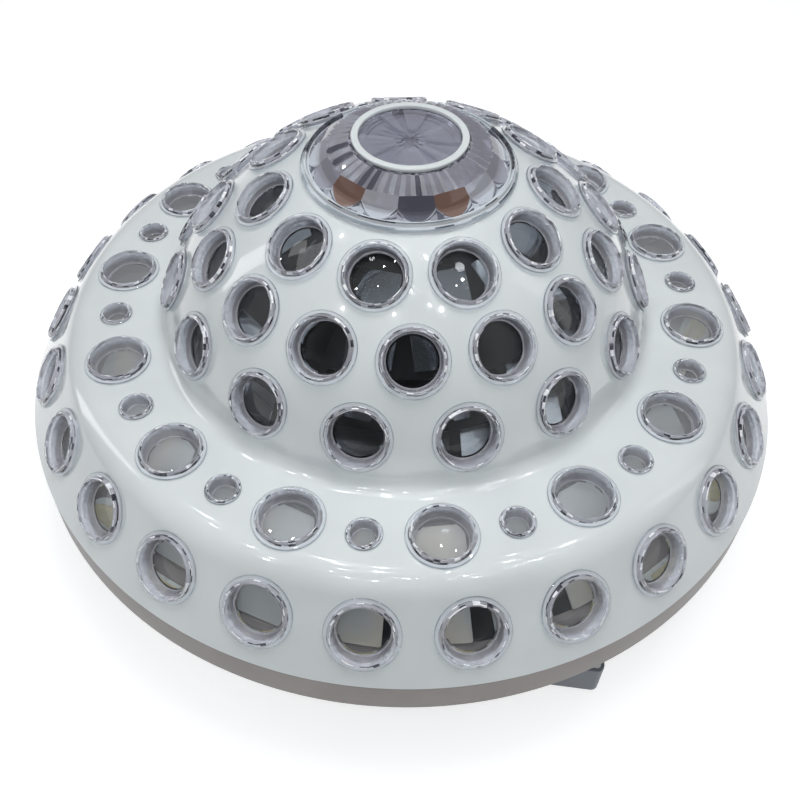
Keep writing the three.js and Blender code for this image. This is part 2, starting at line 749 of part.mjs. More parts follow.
function heatSink() {
  const plate = disc(sinkRadius, 0, sinkPlateZ, sinkPlate, shellSides);
  const fins = Array.from({ length: sinkFinCount }, (_, i) => {
    const y = (i - (sinkFinCount - 1) / 2) * sinkFinPitch;
    const length = 2 * Math.sqrt((sinkRadius - sinkFinInset) ** 2 - y ** 2);
    const height = sinkFinHeight + sinkPlate / 2;
    return block([length, sinkFinThickness, height], [0, y, sinkPlateZ + sinkPlate / 2 - height / 2]);
  });
  const legs = Array.from({ length: sinkLegCount }, (_, i) => {
    const place = onCircle(sinkLegRowRadius, (Math.PI * (2 * i + 1)) / sinkLegCount);
    const height = sinkStandoff + sinkPlate / 2;
    return disc(sinkLegRadius, 0, sinkBottomZ, height, smallRoundSides).translate(place.x, place.y, 0);
  });
  const middle = disc(bushRadius + seatGap, 0, sinkBottomZ, 2 * sinkStandoff);
  return cutBy(joined(plate, ...fins, ...legs), middle);
}

const ledBoard = () => disc(boardRadius, bushFlangeRadius + 2 * seatGap, boardZ, boardThickness);

const shaftBush = () => {
  const flangeZ = sinkTopZ + seatGap;
  const bottom = sinkPlateZ - sinkFinHeight;
  const bore = shaftRadius + shaftFit;
  const outline = [
    [bore, bottom],
    [bushRadius, bottom],
    [bushRadius, flangeZ],
    [bushFlangeRadius, flangeZ],
    [bushFlangeRadius, flangeZ + bushFlangeHeight],
    [bore, flangeZ + bushFlangeHeight],
  ];
  return turned(outline, roundSides);
};

function collimatorPlate() {
  const plate = disc(boardRadius - boardMargin, opticHoleRadius, opticZ, opticThickness);
  const cone = turned(
    [
      [0, opticZ],
      [collimatorFootRadius, opticZ],
      [collimatorTopRadius, opticZ + opticThickness + collimatorHeight],
      [0, opticZ + opticThickness + collimatorHeight],
    ],
    smallRoundSides,
  );
  const cones = Array.from({ length: collimatorCount }, (_, i) => {
    const place = onCircle(collimatorRowRadius, (2 * Math.PI * i) / collimatorCount);
    return cone.clone().translate(place.x, place.y, 0);
  });
  return joined(plate, ...cones);
}

// The rotor: a shaft, a hub with five arms, and a mirrored basket of flat faces that stands on them
const hubRadius = 16;
const hubGap = 6;
const hubHeight = 30;
const hubCap = 4;
const armCount = 5;
const armWidth = 12;
const armThickness = 3;
const basketGap = 29.5;
const basketWall = 2.5;
const basketSides = 16;
const basketStart = 12;
const basketEnd = 74;
const basketTiers = 3;
const basketOpeningRadius = 17;
const basketRows = [
  { count: 8, lift: 28, start: 11.25 },
  { count: 8, lift: 50, start: 33.75 },
];
const basketRadius = domeRadius - basketGap;
const hubBottomZ = opticZ + opticThickness + collimatorHeight + hubGap;
const hubTopZ = hubBottomZ + hubHeight;
const basketFootZ = domeCentreZ + (basketRadius - basketWall) * Math.sin(degrees(basketStart));
const shaftBottomZ = motorTopZ + neckHeight + seatGap;

const rotorShaft = () =>
  disc(shaftRadius, 0, shaftBottomZ, hubTopZ - hubCap - seatGap - shaftBottomZ, smallRoundSides);

function rotorHub() {
  const armTopZ = basketFootZ - seatGap;
  const armLength = (basketRadius - basketWall) * Math.cos(degrees(basketStart));
  const arms = Array.from({ length: armCount }, (_, i) =>
    block([armLength, armWidth, armThickness], [armLength / 2, 0, armTopZ - armThickness / 2]).rotateZ(
      (2 * Math.PI * i) / armCount,
    ),
  );
  const hub = disc(hubRadius, 0, hubBottomZ, hubHeight);
  const boreHeight = hubHeight - hubCap + cutOverrun;
  const bore = disc(shaftRadius + seatGap, 0, hubBottomZ - cutOverrun, boreHeight, smallRoundSides);
  return cutBy(joined(hub, ...arms), bore);
}

function mirrorBasket() {
  const face = (radius) =>
    Array.from({ length: basketTiers + 1 }, (_, i) => {
      const angle = degrees(basketStart + ((basketEnd - basketStart) * i) / basketTiers);
      return [radius * Math.cos(angle), domeCentreZ + radius * Math.sin(angle)];
    });
  const wall = turned([...face(basketRadius), ...face(basketRadius - basketWall).reverse()], basketSides);
  const reach = 2 * (basketWall + cutOverrun);
  const cutter = disc(basketOpeningRadius, 0, -reach, 2 * reach, screwSides);
  const openings = basketRows.flatMap(({ count, lift, start }) =>
    Array.from({ length: count }, (_, i) => {
      const angle = degrees(lift);
      const radius = basketRadius * Math.cos(angle);
      const height = domeCentreZ + basketRadius * Math.sin(angle);
      return moved(cutter, frameAt(radius, height, degrees(start + (360 * i) / count), angle));
    }),
  );
  return cutBy(wall, ...openings);
}

// Outer optics: a ring of LEDs on the pan and a polished cone that turns their light to the outer cups
const ledRingInset = 27.5;
const ledRingWidth = 11;
const reflectorGap = 3;
const reflectorRun = 52;
const reflectorRise = 62;
const reflectorWall = 2;
const reflectorFoot = 8;
const ledRingOuter = rimRadius - ledRingInset;
const ledRingInner = ledRingOuter - ledRingWidth;
const reflectorOuter = ledRingInner - reflectorGap;
const reflectorInner = reflectorOuter - reflectorRun;
const ledRing = () => disc(ledRingOuter, ledRingInner, panFloorZ + seatGap, boardThickness, shellSides);
function outerReflector() {
  const bottom = panFloorZ + seatGap;
  const kneeZ = bottom + reflectorFoot;
  const outline = [
    [reflectorOuter - reflectorWall, bottom],
    [reflectorOuter, bottom],
    [reflectorOuter, kneeZ],
    [reflectorInner, kneeZ + reflectorRise],
    [reflectorInner - reflectorWall, kneeZ + reflectorRise - reflectorWall],
    [reflectorOuter - reflectorWall, kneeZ - reflectorWall],
  ];
  return turned(outline, shellSides);
}

// Power supply, control board and cooling fan on the chassis floor
const supplySize = [110, 98, 34];
const supplySideGap = 75;
const supplyEndGap = 65;
const supplyPlace = [
  chassisWidth / 2 - supplySideGap - supplySize[0] / 2,
  supplyEndGap + supplySize[1] / 2 - chassisDepth / 2,
];
const boardSize = [60, 90, 1.6];
const boardSideGap = 30;
const boardY = 20;
const boardPlace = [boardSideGap + boardSize[0] / 2 - chassisWidth / 2, boardY];
const boardStandoff = 6;
const boardLegRadius = 3;
const boardLegInset = 6;
const powerSupply = () => block(supplySize, [...supplyPlace, chassisFloorZ + supplySize[2] / 2]);
function controlBoard() {
  const [width, depth, thickness] = boardSize;
  const board = block(boardSize, [0, 0, chassisFloorZ + boardStandoff + thickness / 2]);
  const leg = disc(boardLegRadius, 0, chassisFloorZ, boardStandoff + thickness / 2, screwSides);
  const legs = sideSigns.flatMap((sx) =>
    sideSigns.map((sy) =>
      leg.clone().translate(sx * (width / 2 - boardLegInset), sy * (depth / 2 - boardLegInset), 0),
    ),
  );
  return joined(board, ...legs).translate([...boardPlace, 0]);
}

function fanFrame() {
  const frame = block([fanFrameSize, fanFrameSize, fanFrameHeight], [0, 0, chassisFloorZ + fanFrameHeight / 2]);
  const duct = disc(fanDuctRadius, 0, chassisFloorZ - cutOverrun, fanFrameHeight + 2 * cutOverrun);
  const hub = disc(fanHubRadius, 0, chassisFloorZ, fanGuardHeight);
  const strutSize = [2 * fanDuctRadius + fanStrutWidth, fanStrutWidth, fanStrutWidth];
  const struts = sideSigns.map((side) =>
    block(strutSize, [0, 0, chassisFloorZ + fanStrutWidth / 2]).rotateZ((side * Math.PI) / 4),
  );
  return joined(cutBy(frame, duct), hub, ...struts).translate(fanX, fanY, 0);
}

function fanRotor() {
  const bottom = chassisFloorZ + fanGuardHeight + seatGap;
  const height = fanFrameHeight - fanGuardHeight - fanHubGap;
  const span = fanDuctRadius - fanTipGap;
  const bladeLength = span - fanHubRadius / 2;
  const blade = block([bladeLength, fanBladeThickness, height], [0, 0, 0])
    .rotateX(degrees(fanBladePitch))
    .translate(fanHubRadius / 2 + bladeLength / 2, 0, bottom + height / 2);
  const blades = Array.from({ length: fanBladeCount }, (_, i) =>
    blade.clone().rotateZ((2 * Math.PI * i) / fanBladeCount),
  );
  const hub = disc(fanHubRadius, 0, bottom, height);
  const swept = solidOf(disc(span, 0, bottom, height));
  return joined(hub, ...blades).intersect(swept).translate(fanX, fanY, 0);
}

// The safety eye on the chassis, for a secondary wire: a ring on a plate
function safetyEye() {
  const plate = block([eyePlateSize, eyePlateSize, eyePlateThickness], [0, 0, seatGap + eyePlateThickness / 2]);
  const ring = new THREE.TorusGeometry(eyeRadius, eyeWire, screwSides, roundSides).rotateX(Math.PI / 2);
  return moved(
    joined(plate, ring.translate(0, 0, eyeStandoff)),
    frameAt(eyeFaceRadius, panelMidZ, eyeAzimuth, 0),
  );
}

// Materials
const finish = (color, roughness, metalness = 0, more = {}) =>
  new THREE.MeshStandardMaterial({ color, roughness, metalness, ...more });
const whiteGloss = finish(0xdfe6e8, 0.15);
const clearPlastic = finish(0xeef3f8, 0.05, 0, { transparent: true, opacity: 0.35 });
const taupePaint = finish(0x857d7a, 0.5, 0.2);
const whitePaint = finish(0xd9dfe2, 0.4, 0.1);
const blackPlastic = finish(0x17181a, 0.5);
const blackRubber = finish(0x202123, 0.85);
const mirrorFilm = finish(0xc4c9cc, 0.08, 1);
const bareMetal = finish(0xb4b8bb, 0.35, 1);
const circuitBoard = finish(0xe8ebe6, 0.6);
const darkGlass = finish(0x101418, 0.08);

const light = new THREE.Group();
light.name = "mushroom_effect_light";

function add(name, shape, material) {
  const mesh = new THREE.Mesh(geometryOf(asSolid(shape)), material.clone());
  mesh.name = name;
  light.add(mesh);
}

add("dome_shell", domeShell(), whiteGloss);
add("skirt_lens_ring", lensRing(cupFrames(skirtRow)), clearPlastic);
const ledgeFrames = cupFrames(ringRow).flatMap((cup, i) => [cup, cupFrames(smallRow)[i]]);
add("ledge_lens_ring", lensRing(ledgeFrames), clearPlastic);
add("lower_lens_ring", lensRing(cupFrames(lowerRow)), clearPlastic);
add("middle_lens_ring", lensRing(cupFrames(middleRow)), clearPlastic);
add("upper_lens_ring", lensRing(cupFrames(upperRow)), clearPlastic);
add("crown_lens", crownLens(), clearPlastic);
add("crown_ring", crownRing(), whiteGloss);
add("crown_window", crownWindow(), clearPlastic);
add("base_pan", basePan(), taupePaint);
postPlaces.forEach((place, i) => add(`pan_screw_${i + 1}`, panScrew(place), bareMetal));
add("chassis_case", chassisCase(), whitePaint);
add("front_left_foot", rubberFoot(-1, -1), blackRubber);
add("front_right_foot", rubberFoot(1, -1), blackRubber);
add("rear_left_foot", rubberFoot(-1, 1), blackRubber);
add("rear_right_foot", rubberFoot(1, 1), blackRubber);
add("yoke", yokeStrap(), whitePaint);
["front", "rear"].forEach((end, i) => {
  add(`${end}_friction_washer`, frictionWasher(sideSigns[i]), blackRubber);
  add(`${end}_clamp_knob`, clampKnob(sideSigns[i]), blackPlastic);
  add(`${end}_lock_nut`, lockNut(sideSigns[i]), bareMetal);
});
add("safety_eye", safetyEye(), bareMetal);
add("control_panel", controlPanel(), blackPlastic);
add("display_window", displayWindow(), darkGlass);
buttonNames.forEach((name, i) => add(`${name}_button`, pushButton(i), blackRubber));
Object.entries(socketPlaces).forEach(([name, x]) => add(name, signalSocket(x), blackPlastic));
add("power_inlet", powerInlet(), blackPlastic);
add("switch_housing", switchHousing(), blackPlastic);
add("switch_rocker", switchRocker(), blackPlastic);
add("drive_motor", driveMotor(), bareMetal);
add("motor_bracket", motorBracket(), bareMetal);
add("shaft_bush", shaftBush(), bareMetal);
add("rotor_shaft", rotorShaft(), bareMetal);
add("rotor_hub", rotorHub(), blackPlastic);
add("mirror_basket", mirrorBasket(), mirrorFilm);
add("heat_sink", heatSink(), bareMetal);
add("led_board", ledBoard(), circuitBoard);
add("collimator_plate", collimatorPlate(), clearPlastic);
add("outer_led_ring", ledRing(), circuitBoard);
add("outer_reflector", outerReflector(), mirrorFilm);
add("power_supply", powerSupply(), bareMetal);
add("control_board", controlBoard(), circuitBoard);
add("fan_frame", fanFrame(), blackPlastic);
add("fan_rotor", fanRotor(), blackPlastic);

export default light;
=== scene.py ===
# %% [markdown]
# # A mushroom effect light
# This light throws many beams at once. A white moulded shell holds 94 clear lens cups in five rings,
# a cut clear crown sits on its top, and a taupe steel pan closes it from below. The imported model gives
# every size and place, and this lesson makes the surfaces that the eye meets: gloss, clear plastic,
# paint and bare metal. Each cell makes one thing and prints what it made.

import math

import bmesh
import bpy
import numpy as np
from mathutils import Matrix, Vector


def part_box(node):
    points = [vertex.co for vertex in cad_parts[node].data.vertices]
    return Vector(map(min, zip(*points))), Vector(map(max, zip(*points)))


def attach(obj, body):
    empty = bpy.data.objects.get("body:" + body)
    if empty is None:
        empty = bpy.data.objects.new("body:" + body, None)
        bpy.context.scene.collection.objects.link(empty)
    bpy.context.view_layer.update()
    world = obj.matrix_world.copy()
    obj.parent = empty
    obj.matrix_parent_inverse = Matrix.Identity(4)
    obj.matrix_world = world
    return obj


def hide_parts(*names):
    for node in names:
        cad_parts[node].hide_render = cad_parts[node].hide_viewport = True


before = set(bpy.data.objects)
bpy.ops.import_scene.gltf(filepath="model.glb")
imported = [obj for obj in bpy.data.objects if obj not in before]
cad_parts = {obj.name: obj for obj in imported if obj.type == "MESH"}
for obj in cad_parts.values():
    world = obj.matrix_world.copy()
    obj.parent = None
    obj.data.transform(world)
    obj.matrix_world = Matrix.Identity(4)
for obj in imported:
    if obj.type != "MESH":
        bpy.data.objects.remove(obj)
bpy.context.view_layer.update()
MM = 0.001

# %% [markdown]
# ## The camera
# The photograph looks down on the light from its front, a little from the right. The camera was found by
# fitting the centres of the lens cups, so its place is a measured one. It is made first, because all
# later choices of detail depend on what it sees.

# %% Camera at the photograph's viewing angle
CAMERA_AT = (0.0592, -0.5635, 0.6817)
CAMERA_TURN, CAMERA_TILT, CAMERA_ROLL = 6.154, 41.453, 1.708
CAMERA_LENS, CAMERA_SENSOR = 43.27, 36.0
camera_data = bpy.data.cameras.new("camera")
camera_data.lens = CAMERA_LENS
camera_data.sensor_width = CAMERA_SENSOR
camera = bpy.data.objects.new("camera", camera_data)
turns = ((CAMERA_TURN, "Z"), (CAMERA_TILT, "X"), (CAMERA_ROLL, "Z"))
turn, tilt, roll = (Matrix.Rotation(math.radians(angle), 4, axis) for angle, axis in turns)
camera.matrix_world = Matrix.Translation(CAMERA_AT) @ turn @ tilt @ roll
bpy.context.scene.collection.objects.link(camera)
bpy.context.scene.camera = camera
print("camera", [round(v, 3) for v in camera.location])

# %% [markdown]
# ## How a surface becomes a mesh
# Most pieces of this light are turned or pressed, so they are profiles carried round an axis. A profile
# could be turned with a Screw or Spin tool, but a grid of points worked out with numpy keeps every
# radius and height a plain number. The seam and the poles close when coinciding points are merged.

# %% Grids of points
def grid_faces(rows, columns):
    """Corner numbers of the quads between neighbouring rows, with the last column joined to the first."""
    row, column = np.meshgrid(np.arange(rows - 1), np.arange(columns), indexing="ij")
    after = (column + 1) % columns
    low, high = row * columns, (row + 1) * columns
    return np.stack([low + column, low + after, high + after, high + column], axis=-1)


def around(radius, azimuth, height):
    """Points at a radius and an azimuth from the front: x = r sin a, y = -r cos a, and z is the height."""
    places = np.broadcast_arrays(radius * np.sin(azimuth), -radius * np.cos(azimuth), height)
    return np.stack(places, axis=-1)


def lathe(profile, steps):
    """A profile of (radius, height) points turned round Z in equal steps."""
    radius, height = np.array(profile, float).T[:, :, None]
    return around(radius, 2 * np.pi * np.arange(steps) / steps, height), grid_faces(len(profile), steps)


def stack(outline, rows):
    """Rings of one outline, each (inset, height): inset None draws the ring in to the outline's middle."""
    rings = []
    for inset, height in rows:
        ring = outline(inset or 0)
        if inset is None:
            ring = np.broadcast_to(ring.mean(axis=0), ring.shape)
        rings.append(np.column_stack([ring, np.full(len(ring), height)]))
    points = np.array(rings)
    return points, grid_faces(len(rows), points.shape[1])


def rounded_outline(width, height, corner, steps=5):
    """A rectangle with round corners: each corner's centre plus c (cos a, sin a) over its quarter turn."""
    def outline(inset):
        radius = max(corner - inset, 0.05)
        angle = np.radians(np.linspace(0, 90, steps + 1))
        quarters = []
        for quarter, (sx, sy) in enumerate(((1, 1), (-1, 1), (-1, -1), (1, -1))):
            turned = angle + quarter * np.pi / 2
            centre = [sx * (width / 2 - inset - radius), sy * (height / 2 - inset - radius)]
            quarters.append(centre + radius * np.stack([np.cos(turned), np.sin(turned)], axis=-1))
        return np.concatenate(quarters)
    return outline


def place(points, at, right=(1, 0, 0), up=(0, 1, 0)):
    """Points drawn as (right, up, out) set on a spot: the spot plus x right, y up and z out of the two."""
    basis = np.array([right, up, np.cross(right, up)], float)
    return points.reshape(-1, 3) @ basis + np.array(at, float)


def part(shape, material):
    """A shape of (points in mm, faces) as one part of a piece."""
    points, faces = shape
    return points, [faces], material


print("a quad grid of 3 by 4 has", grid_faces(3, 4).reshape(-1, 4).shape[0], "faces")

# %% [markdown]
# ## From arrays to an object
# One helper joins the parts of a piece in a mesh, closes its seams and turns its faces outwards. Another
# makes it smooth up to a crease angle, and says which body the piece rides on and what it stands for.
# Slots and holes are cut with a Boolean, whose tool is removed once the result is kept.

# %% Make one piece
CREASE = 35


def joined_mesh(name, parts):
    """Joins parts of (points in mm, list of face arrays, material) and merges the points that coincide."""
    points, faces, marks, materials, start = [], [], [], [], 0
    for part_points, part_faces, material in parts:
        if material not in materials:
            materials.append(material)
        part_points = np.asarray(part_points, float).reshape(-1, 3)
        for block in part_faces:
            block = np.asarray(block)
            block = block.reshape(-1, block.shape[-1]) + start
            faces += block.tolist()
            marks += [materials.index(material)] * len(block)
        points.append(part_points)
        start += len(part_points)
    mesh = bpy.data.meshes.new(name)
    mesh.from_pydata(np.concatenate(points) * MM, [], faces)
    for material in materials:
        mesh.materials.append(material)
    mesh.polygons.foreach_set("material_index", marks)
    work = bmesh.new()
    work.from_mesh(mesh)
    bmesh.ops.remove_doubles(work, verts=work.verts, dist=0.002 * MM)
    bmesh.ops.delete(work, geom=[v for v in work.verts if not v.link_faces], context="VERTS")
    bmesh.ops.recalc_face_normals(work, faces=work.faces)
    if work.calc_volume(signed=True) < 0:
        bmesh.ops.reverse_faces(work, faces=work.faces)
    work.to_mesh(mesh)
    work.free()
    return mesh


def smooth(mesh, crease=CREASE):
    """Smooths a mesh but keeps the edges that are sharper than the crease angle."""
    mesh.shade_smooth()
    mesh.set_sharp_from_angle(angle=math.radians(crease))


def linked(name, data):
    """An object for a mesh, a lamp or a camera, in the scene."""
    thing = bpy.data.objects.new(name, data)
    bpy.context.scene.collection.objects.link(thing)
    return thing


def put(name, parts, body, replaces=(), crease=CREASE):
    """Makes a piece of its parts and hands it to its body."""
    mesh = joined_mesh(name, parts)
    smooth(mesh, crease)
    piece = linked(name, mesh)
    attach(piece, body)
    if replaces:
        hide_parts(*replaces)
    print(f"{name}: {len(mesh.vertices)} points, {len(mesh.polygons)} faces")
    return piece


def cut(piece, cutters):
    """Cuts closed shapes of (points in mm, faces) out of a piece and finds its creases again."""
    material = piece.data.materials[0]
    tool = linked("cutter", joined_mesh("cutter", [part(shape, material) for shape in cutters]))
    modifier = piece.modifiers.new("cut", "BOOLEAN")
    modifier.operation = "DIFFERENCE"
    modifier.solver = "EXACT"
    modifier.object = tool
    bpy.context.view_layer.update()
    done = bpy.data.meshes.new_from_object(piece.evaluated_get(bpy.context.evaluated_depsgraph_get()))
    piece.modifiers.clear()
    piece.data = done
    bpy.data.objects.remove(tool)
    smooth(done)
    print(f"{piece.name}: cut to {len(done.polygons)} faces")


# %% [markdown]
# ## Colours and nodes
# Colours are written as the hex values that the eye reads on a screen, and turned to the linear values
# that the renderer adds up. One function adds a node with its settings and its links, so that a
# material reads as a short list of what is mixed with what.

# %% Colour and node helpers
def linear(colour):
    """Linear RGBA of an sRGB hex: v / 12.92 in the dark part and ((v + 0.055) / 1.055) ** 2.4 above it."""
    value = np.array([int(colour[i : i + 2], 16) for i in (1, 3, 5)]) / 255
    lit = np.where(value <= 0.04045, value / 12.92, ((value + 0.055) / 1.055) ** 2.4)
    return (*lit.tolist(), 1.0)


def add_node(tree, kind, sockets=None, **settings):
    """Adds a node, sets its settings, and gives each socket a value or a link to (node, output). A socket
    goes by its name, or by its number where names repeat, as a Mix node's do."""
    node = tree.nodes.new(kind)
    for name, value in settings.items():
        setattr(node, name, value)
    for name, value in (sockets or {}).items():
        if isinstance(value, tuple) and isinstance(value[0], bpy.types.Node):
            tree.links.new(value[0].outputs[value[1]], node.inputs[name])
        else:
            node.inputs[name].default_value = value
    return node


def per_mm(size):
    """The Scale of a pattern whose cells are this many millimetres wide, in Object coordinates."""
    return 1000.0 / size


def noise(size, detail=2.0):
    """A cloudy pattern of a size in mm, as (kind of node, its sockets, its output)."""
    return "ShaderNodeTexNoise", {"Scale": per_mm(size), "Detail": detail}, "Fac"


def cells(size, output="Distance"):
    """A pattern of cells of a size in mm: the distance from each cell's middle, or a colour of its own."""
    return "ShaderNodeTexVoronoi", {"Scale": per_mm(size)}, output


def surface(name, shader_sockets, tones=None, relief=None):
    """A material whose colour varies between two tones, and whose normal follows a fine relief.
    tones is (dark hex, light hex, pattern, low, high) and relief is (pattern, depth in mm)."""
    material = bpy.data.materials.new(name)
    material.use_nodes = True
    tree = material.node_tree
    tree.nodes.clear()
    where = add_node(tree, "ShaderNodeTexCoord")
    shader = add_node(tree, "ShaderNodeBsdfPrincipled", shader_sockets)
    add_node(tree, "ShaderNodeOutputMaterial", {"Surface": (shader, "BSDF")})
    if tones:
        dark, light, (kind, sockets, output), low, high = tones
        pattern = add_node(tree, kind, {"Vector": (where, "Object"), **sockets})
        ramp = add_node(tree, "ShaderNodeValToRGB", {"Fac": (pattern, output)})
        for element, position, colour in zip(ramp.color_ramp.elements, (low, high), (dark, light)):
            element.position = position
            element.color = linear(colour)
        tree.links.new(ramp.outputs["Color"], shader.inputs["Base Color"])
    if relief:
        (kind, sockets, output), depth = relief
        pattern = add_node(tree, kind, {"Vector": (where, "Object"), **sockets})
        raised = add_node(tree, "ShaderNodeBump", {"Height": (pattern, output), "Distance": depth * MM})
        tree.links.new(raised.outputs["Normal"], shader.inputs["Normal"])
    return material


def ends_of(tree):
    """The shader of a material and the node that its surface ends in."""
    shader = next(n for n in tree.nodes if n.type == "BSDF_PRINCIPLED")
    return shader, next(n for n in tree.nodes if n.type == "OUTPUT_MATERIAL")


print("mid grey is", round(linear("#808080")[0], 3))

# %% [markdown]
# ## White gloss moulding
# The shell is vacuum formed or injection moulded ABS in cool white, polished by its mould. A gloss
# plastic has a clear top skin, so its highlights are sharp while its body colour stays soft. A very
# slow ripple, as left by cooling, bends the long highlights a little, and a faint cloudiness in the
# colour keeps large fields from looking dead. Inside, the ABS is matt, and inside the dome it is black:
# painted shade, the dark which the dome's windows show.

# %% White moulded plastics
white_gloss = surface(
    "gloss_white_moulded_abs",
    {"Roughness": 0.16, "IOR": 1.53, "Coat Weight": 1.0, "Coat Roughness": 0.03},
    ("#D6DCDE", "#DDE3E4", noise(60), 0.35, 0.65),
    (noise(28, 1.0), 0.10),
)
white_inside = surface(
    "matt_inner_face_of_white_abs",
    {"Roughness": 0.6, "IOR": 1.53},
    ("#A9AEB0", "#B4B9BB", noise(40), 0.3, 0.7),
)
# Painted shade: black that stands for the shade inside the dome, on its inner face and its basket.
black_painted_shade = surface(
    "matt_black_painted_shade_inside", {"Roughness": 0.7}, ("#0E0F11", "#17181A", noise(12, 3.0), 0.3, 0.7)
)
print(white_gloss.name, white_inside.name, black_painted_shade.name)

# %% [markdown]
# ## Clear plastic
# The cups and the crown are moulded acrylic. Real refraction gives part of the black and white glints of
# the collars, because each small face bends the view to another part of the light; painted glints add
# the rest. A renderer blocks lamps behind refracting walls, so for shadow rays alone the wall is made to
# let light through, as thin clear plastic does. A clean mould leaves the windows polished. Flanges,
# recess walls and cut faces hold a share of milk, the haze of their fine scratches and dust, which lights
# them where clear walls would be black. The collars get a cell relief: the mould's fine hammered cut that
# makes them sparkle.
#
# The crown's facets are ground one by one, so each throws the eye another way. Their tones are painted
# reflections, light, grey, deep, warm or faint, each standing for what that facet shows. A few facets of
# every collar carry a painted dark or bright reflection outright, as painted glints.

# %% Clear acrylic, smooth and cut
ACRYLIC, HAMMER_SIZE = 1.49, 3.2


def clear_plastic(name, roughness, tint, relief=None, lets_through="#E9ECEE", milk=0.0):
    """Clear acrylic: refracting to the eye, with a share of milk in it, and letting lamp light through."""
    material = surface(
        name,
        {
            "Roughness": roughness, "IOR": ACRYLIC,
            "Transmission Weight": 1.0 - milk, "Base Color": linear(tint),
        },
        relief=relief,
    )
    tree = material.node_tree
    shader, output = ends_of(tree)
    path = add_node(tree, "ShaderNodeLightPath")
    passing = add_node(tree, "ShaderNodeBsdfTransparent", {"Color": linear(lets_through)})
    either = add_node(
        tree, "ShaderNodeMixShader", {0: (path, "Is Shadow Ray"), 1: (shader, "BSDF"), 2: (passing, "BSDF")}
    )
    tree.links.new(either.outputs["Shader"], output.inputs["Surface"])
    return material


def painted_reflection_facet(name, roughness, dark, light):
    """A cut facet whose colour is a painted reflection: the tones of what it would mirror."""
    return surface(name, {"Roughness": roughness, "IOR": ACRYLIC}, (dark, light, noise(4), 0.35, 0.65))


clear_smooth = clear_plastic("polished_clear_acrylic", 0.015, "#F4F7FA", lets_through="#F3F5F6")
hazy_smooth = clear_plastic(
    "polished_acrylic_with_a_dust_haze", 0.03, "#EEF1F4", lets_through="#F3F5F6", milk=0.1
)
clear_edge = clear_plastic("clear_acrylic_flange", 0.04, "#EDF0F3", lets_through="#D3D7DA", milk=0.38)
clear_wall = clear_plastic("clear_acrylic_recess_wall", 0.06, "#E0E1EA", (noise(5), 0.8), milk=0.36)
# The rim's grey tint is painted shade: the dark line along a flange's edge. The darker light it lets
# through casts a real shadow.
clear_rim = clear_plastic("clear_acrylic_rim", 0.06, "#B9BFC4", lets_through="#8E9498")
clear_cut = clear_plastic("cut_clear_acrylic", 0.03, "#ECEDF5", (cells(HAMMER_SIZE), 0.5), milk=0.3)
clear_crown = clear_plastic("faceted_clear_acrylic", 0.01, "#ECECF4", milk=0.03)
# Each facet tone is a painted reflection, standing for what that facet shows: light, grey, deep, warm or
# faint.
crown_facets = [
    clear_plastic(f"acrylic_facet_with_painted_reflection_{tone}", 0.02, tint, milk=milk)
    for tone, tint, milk in (
        ("light", "#DDDFE8", 0.35), ("grey", "#A3A2AE", 0.5), ("deep", "#5A5A66", 0.6),
        ("warm", "#7E5F52", 0.55), ("faint", "#C9CAD6", 0.22),
    )
]
# Painted glints: facets coloured as a dark or a bright reflection.
painted_dark_glint = painted_reflection_facet("cut_facet_painted_with_dark_reflection", 0.08, "#24252C", "#5A5B66")
painted_bright_glint = painted_reflection_facet("cut_facet_painted_with_bright_reflection", 0.1, "#D2D5DE", "#FBFCFD")
print("clear materials", sum(m.name.count("acrylic") for m in bpy.data.materials))

# %% [markdown]
# ## Paint, rubber and black plastics
# The pan is powder coated taupe, a baked paint with a fine orange peel. The case and the lip of the yoke
# carry the same paint in white. The yoke's strap is painted grey: painted shade, for the shadow that
# the pan casts on the same white paint. Black plastics are spark eroded in the mould, which gives a fine
# even grain, and rubber scatters light so widely that it shows no highlight.

# %% Paints, rubber and plastics
def powder_coat(name, dark, light):
    """Powder coated steel: semi-gloss, with an orange peel of about a millimetre."""
    return surface(
        name,
        {"Roughness": 0.42, "IOR": 1.5},
        (dark, light, noise(35, 3.0), 0.3, 0.7),
        (noise(1.1, 1.0), 0.05),
    )


taupe_paint = powder_coat("powder_coated_taupe_steel", "#8A827F", "#938B88")
white_paint = powder_coat("powder_coated_white_steel", "#D4D9DB", "#DDE1E2")
# The strap's grey is painted shade: the same white paint, darkened for the shadow under the pan.
grey_painted_shade = powder_coat("powder_coat_grey_as_painted_shade", "#676C74", "#72777F")
black_plastic = surface(
    "spark_grained_black_abs",
    {"Roughness": 0.45, "IOR": 1.53},
    ("#15161A", "#1D1E21", noise(6, 4.0), 0.35, 0.65),
    (noise(0.6), 0.06),
)
black_rubber = surface(
    "moulded_black_rubber",
    {"Roughness": 0.8, "IOR": 1.52, "Sheen Weight": 0.15},
    ("#1D1E20", "#27282A", noise(3, 3.0), 0.3, 0.7),
    (noise(0.5), 0.05),
)
dark_glass = surface(
    "smoked_polycarbonate_window",
    {"Roughness": 0.06, "IOR": 1.585},
    ("#07090C", "#0D1116", noise(15), 0.3, 0.7),
)
print("materials", len(bpy.data.materials))

# %% [markdown]
# ## Metals, mirrors and boards
# Mirrors are polished or metallised, so their colour is their reflection and only faint haze varies.
# The plates behind the skirt are vacuum metallised over a satin sheet: an even satin grey, mottled with
# cream that is a painted reflection of the LEDs' phosphor, while the film in the basket mirrors sharply.
# The crown's silvered back has cells of many tones.

# %% Metals and boards
def metal(name, dark, light, roughness, size, depth):
    """A metal whose reflection varies between two tones, with rolling or casting marks of a given size."""
    return surface(
        name,
        {"Roughness": roughness, "Metallic": 1.0},
        (dark, light, noise(size, 4.0), 0.3, 0.7),
        (noise(size / 6), depth),
    )


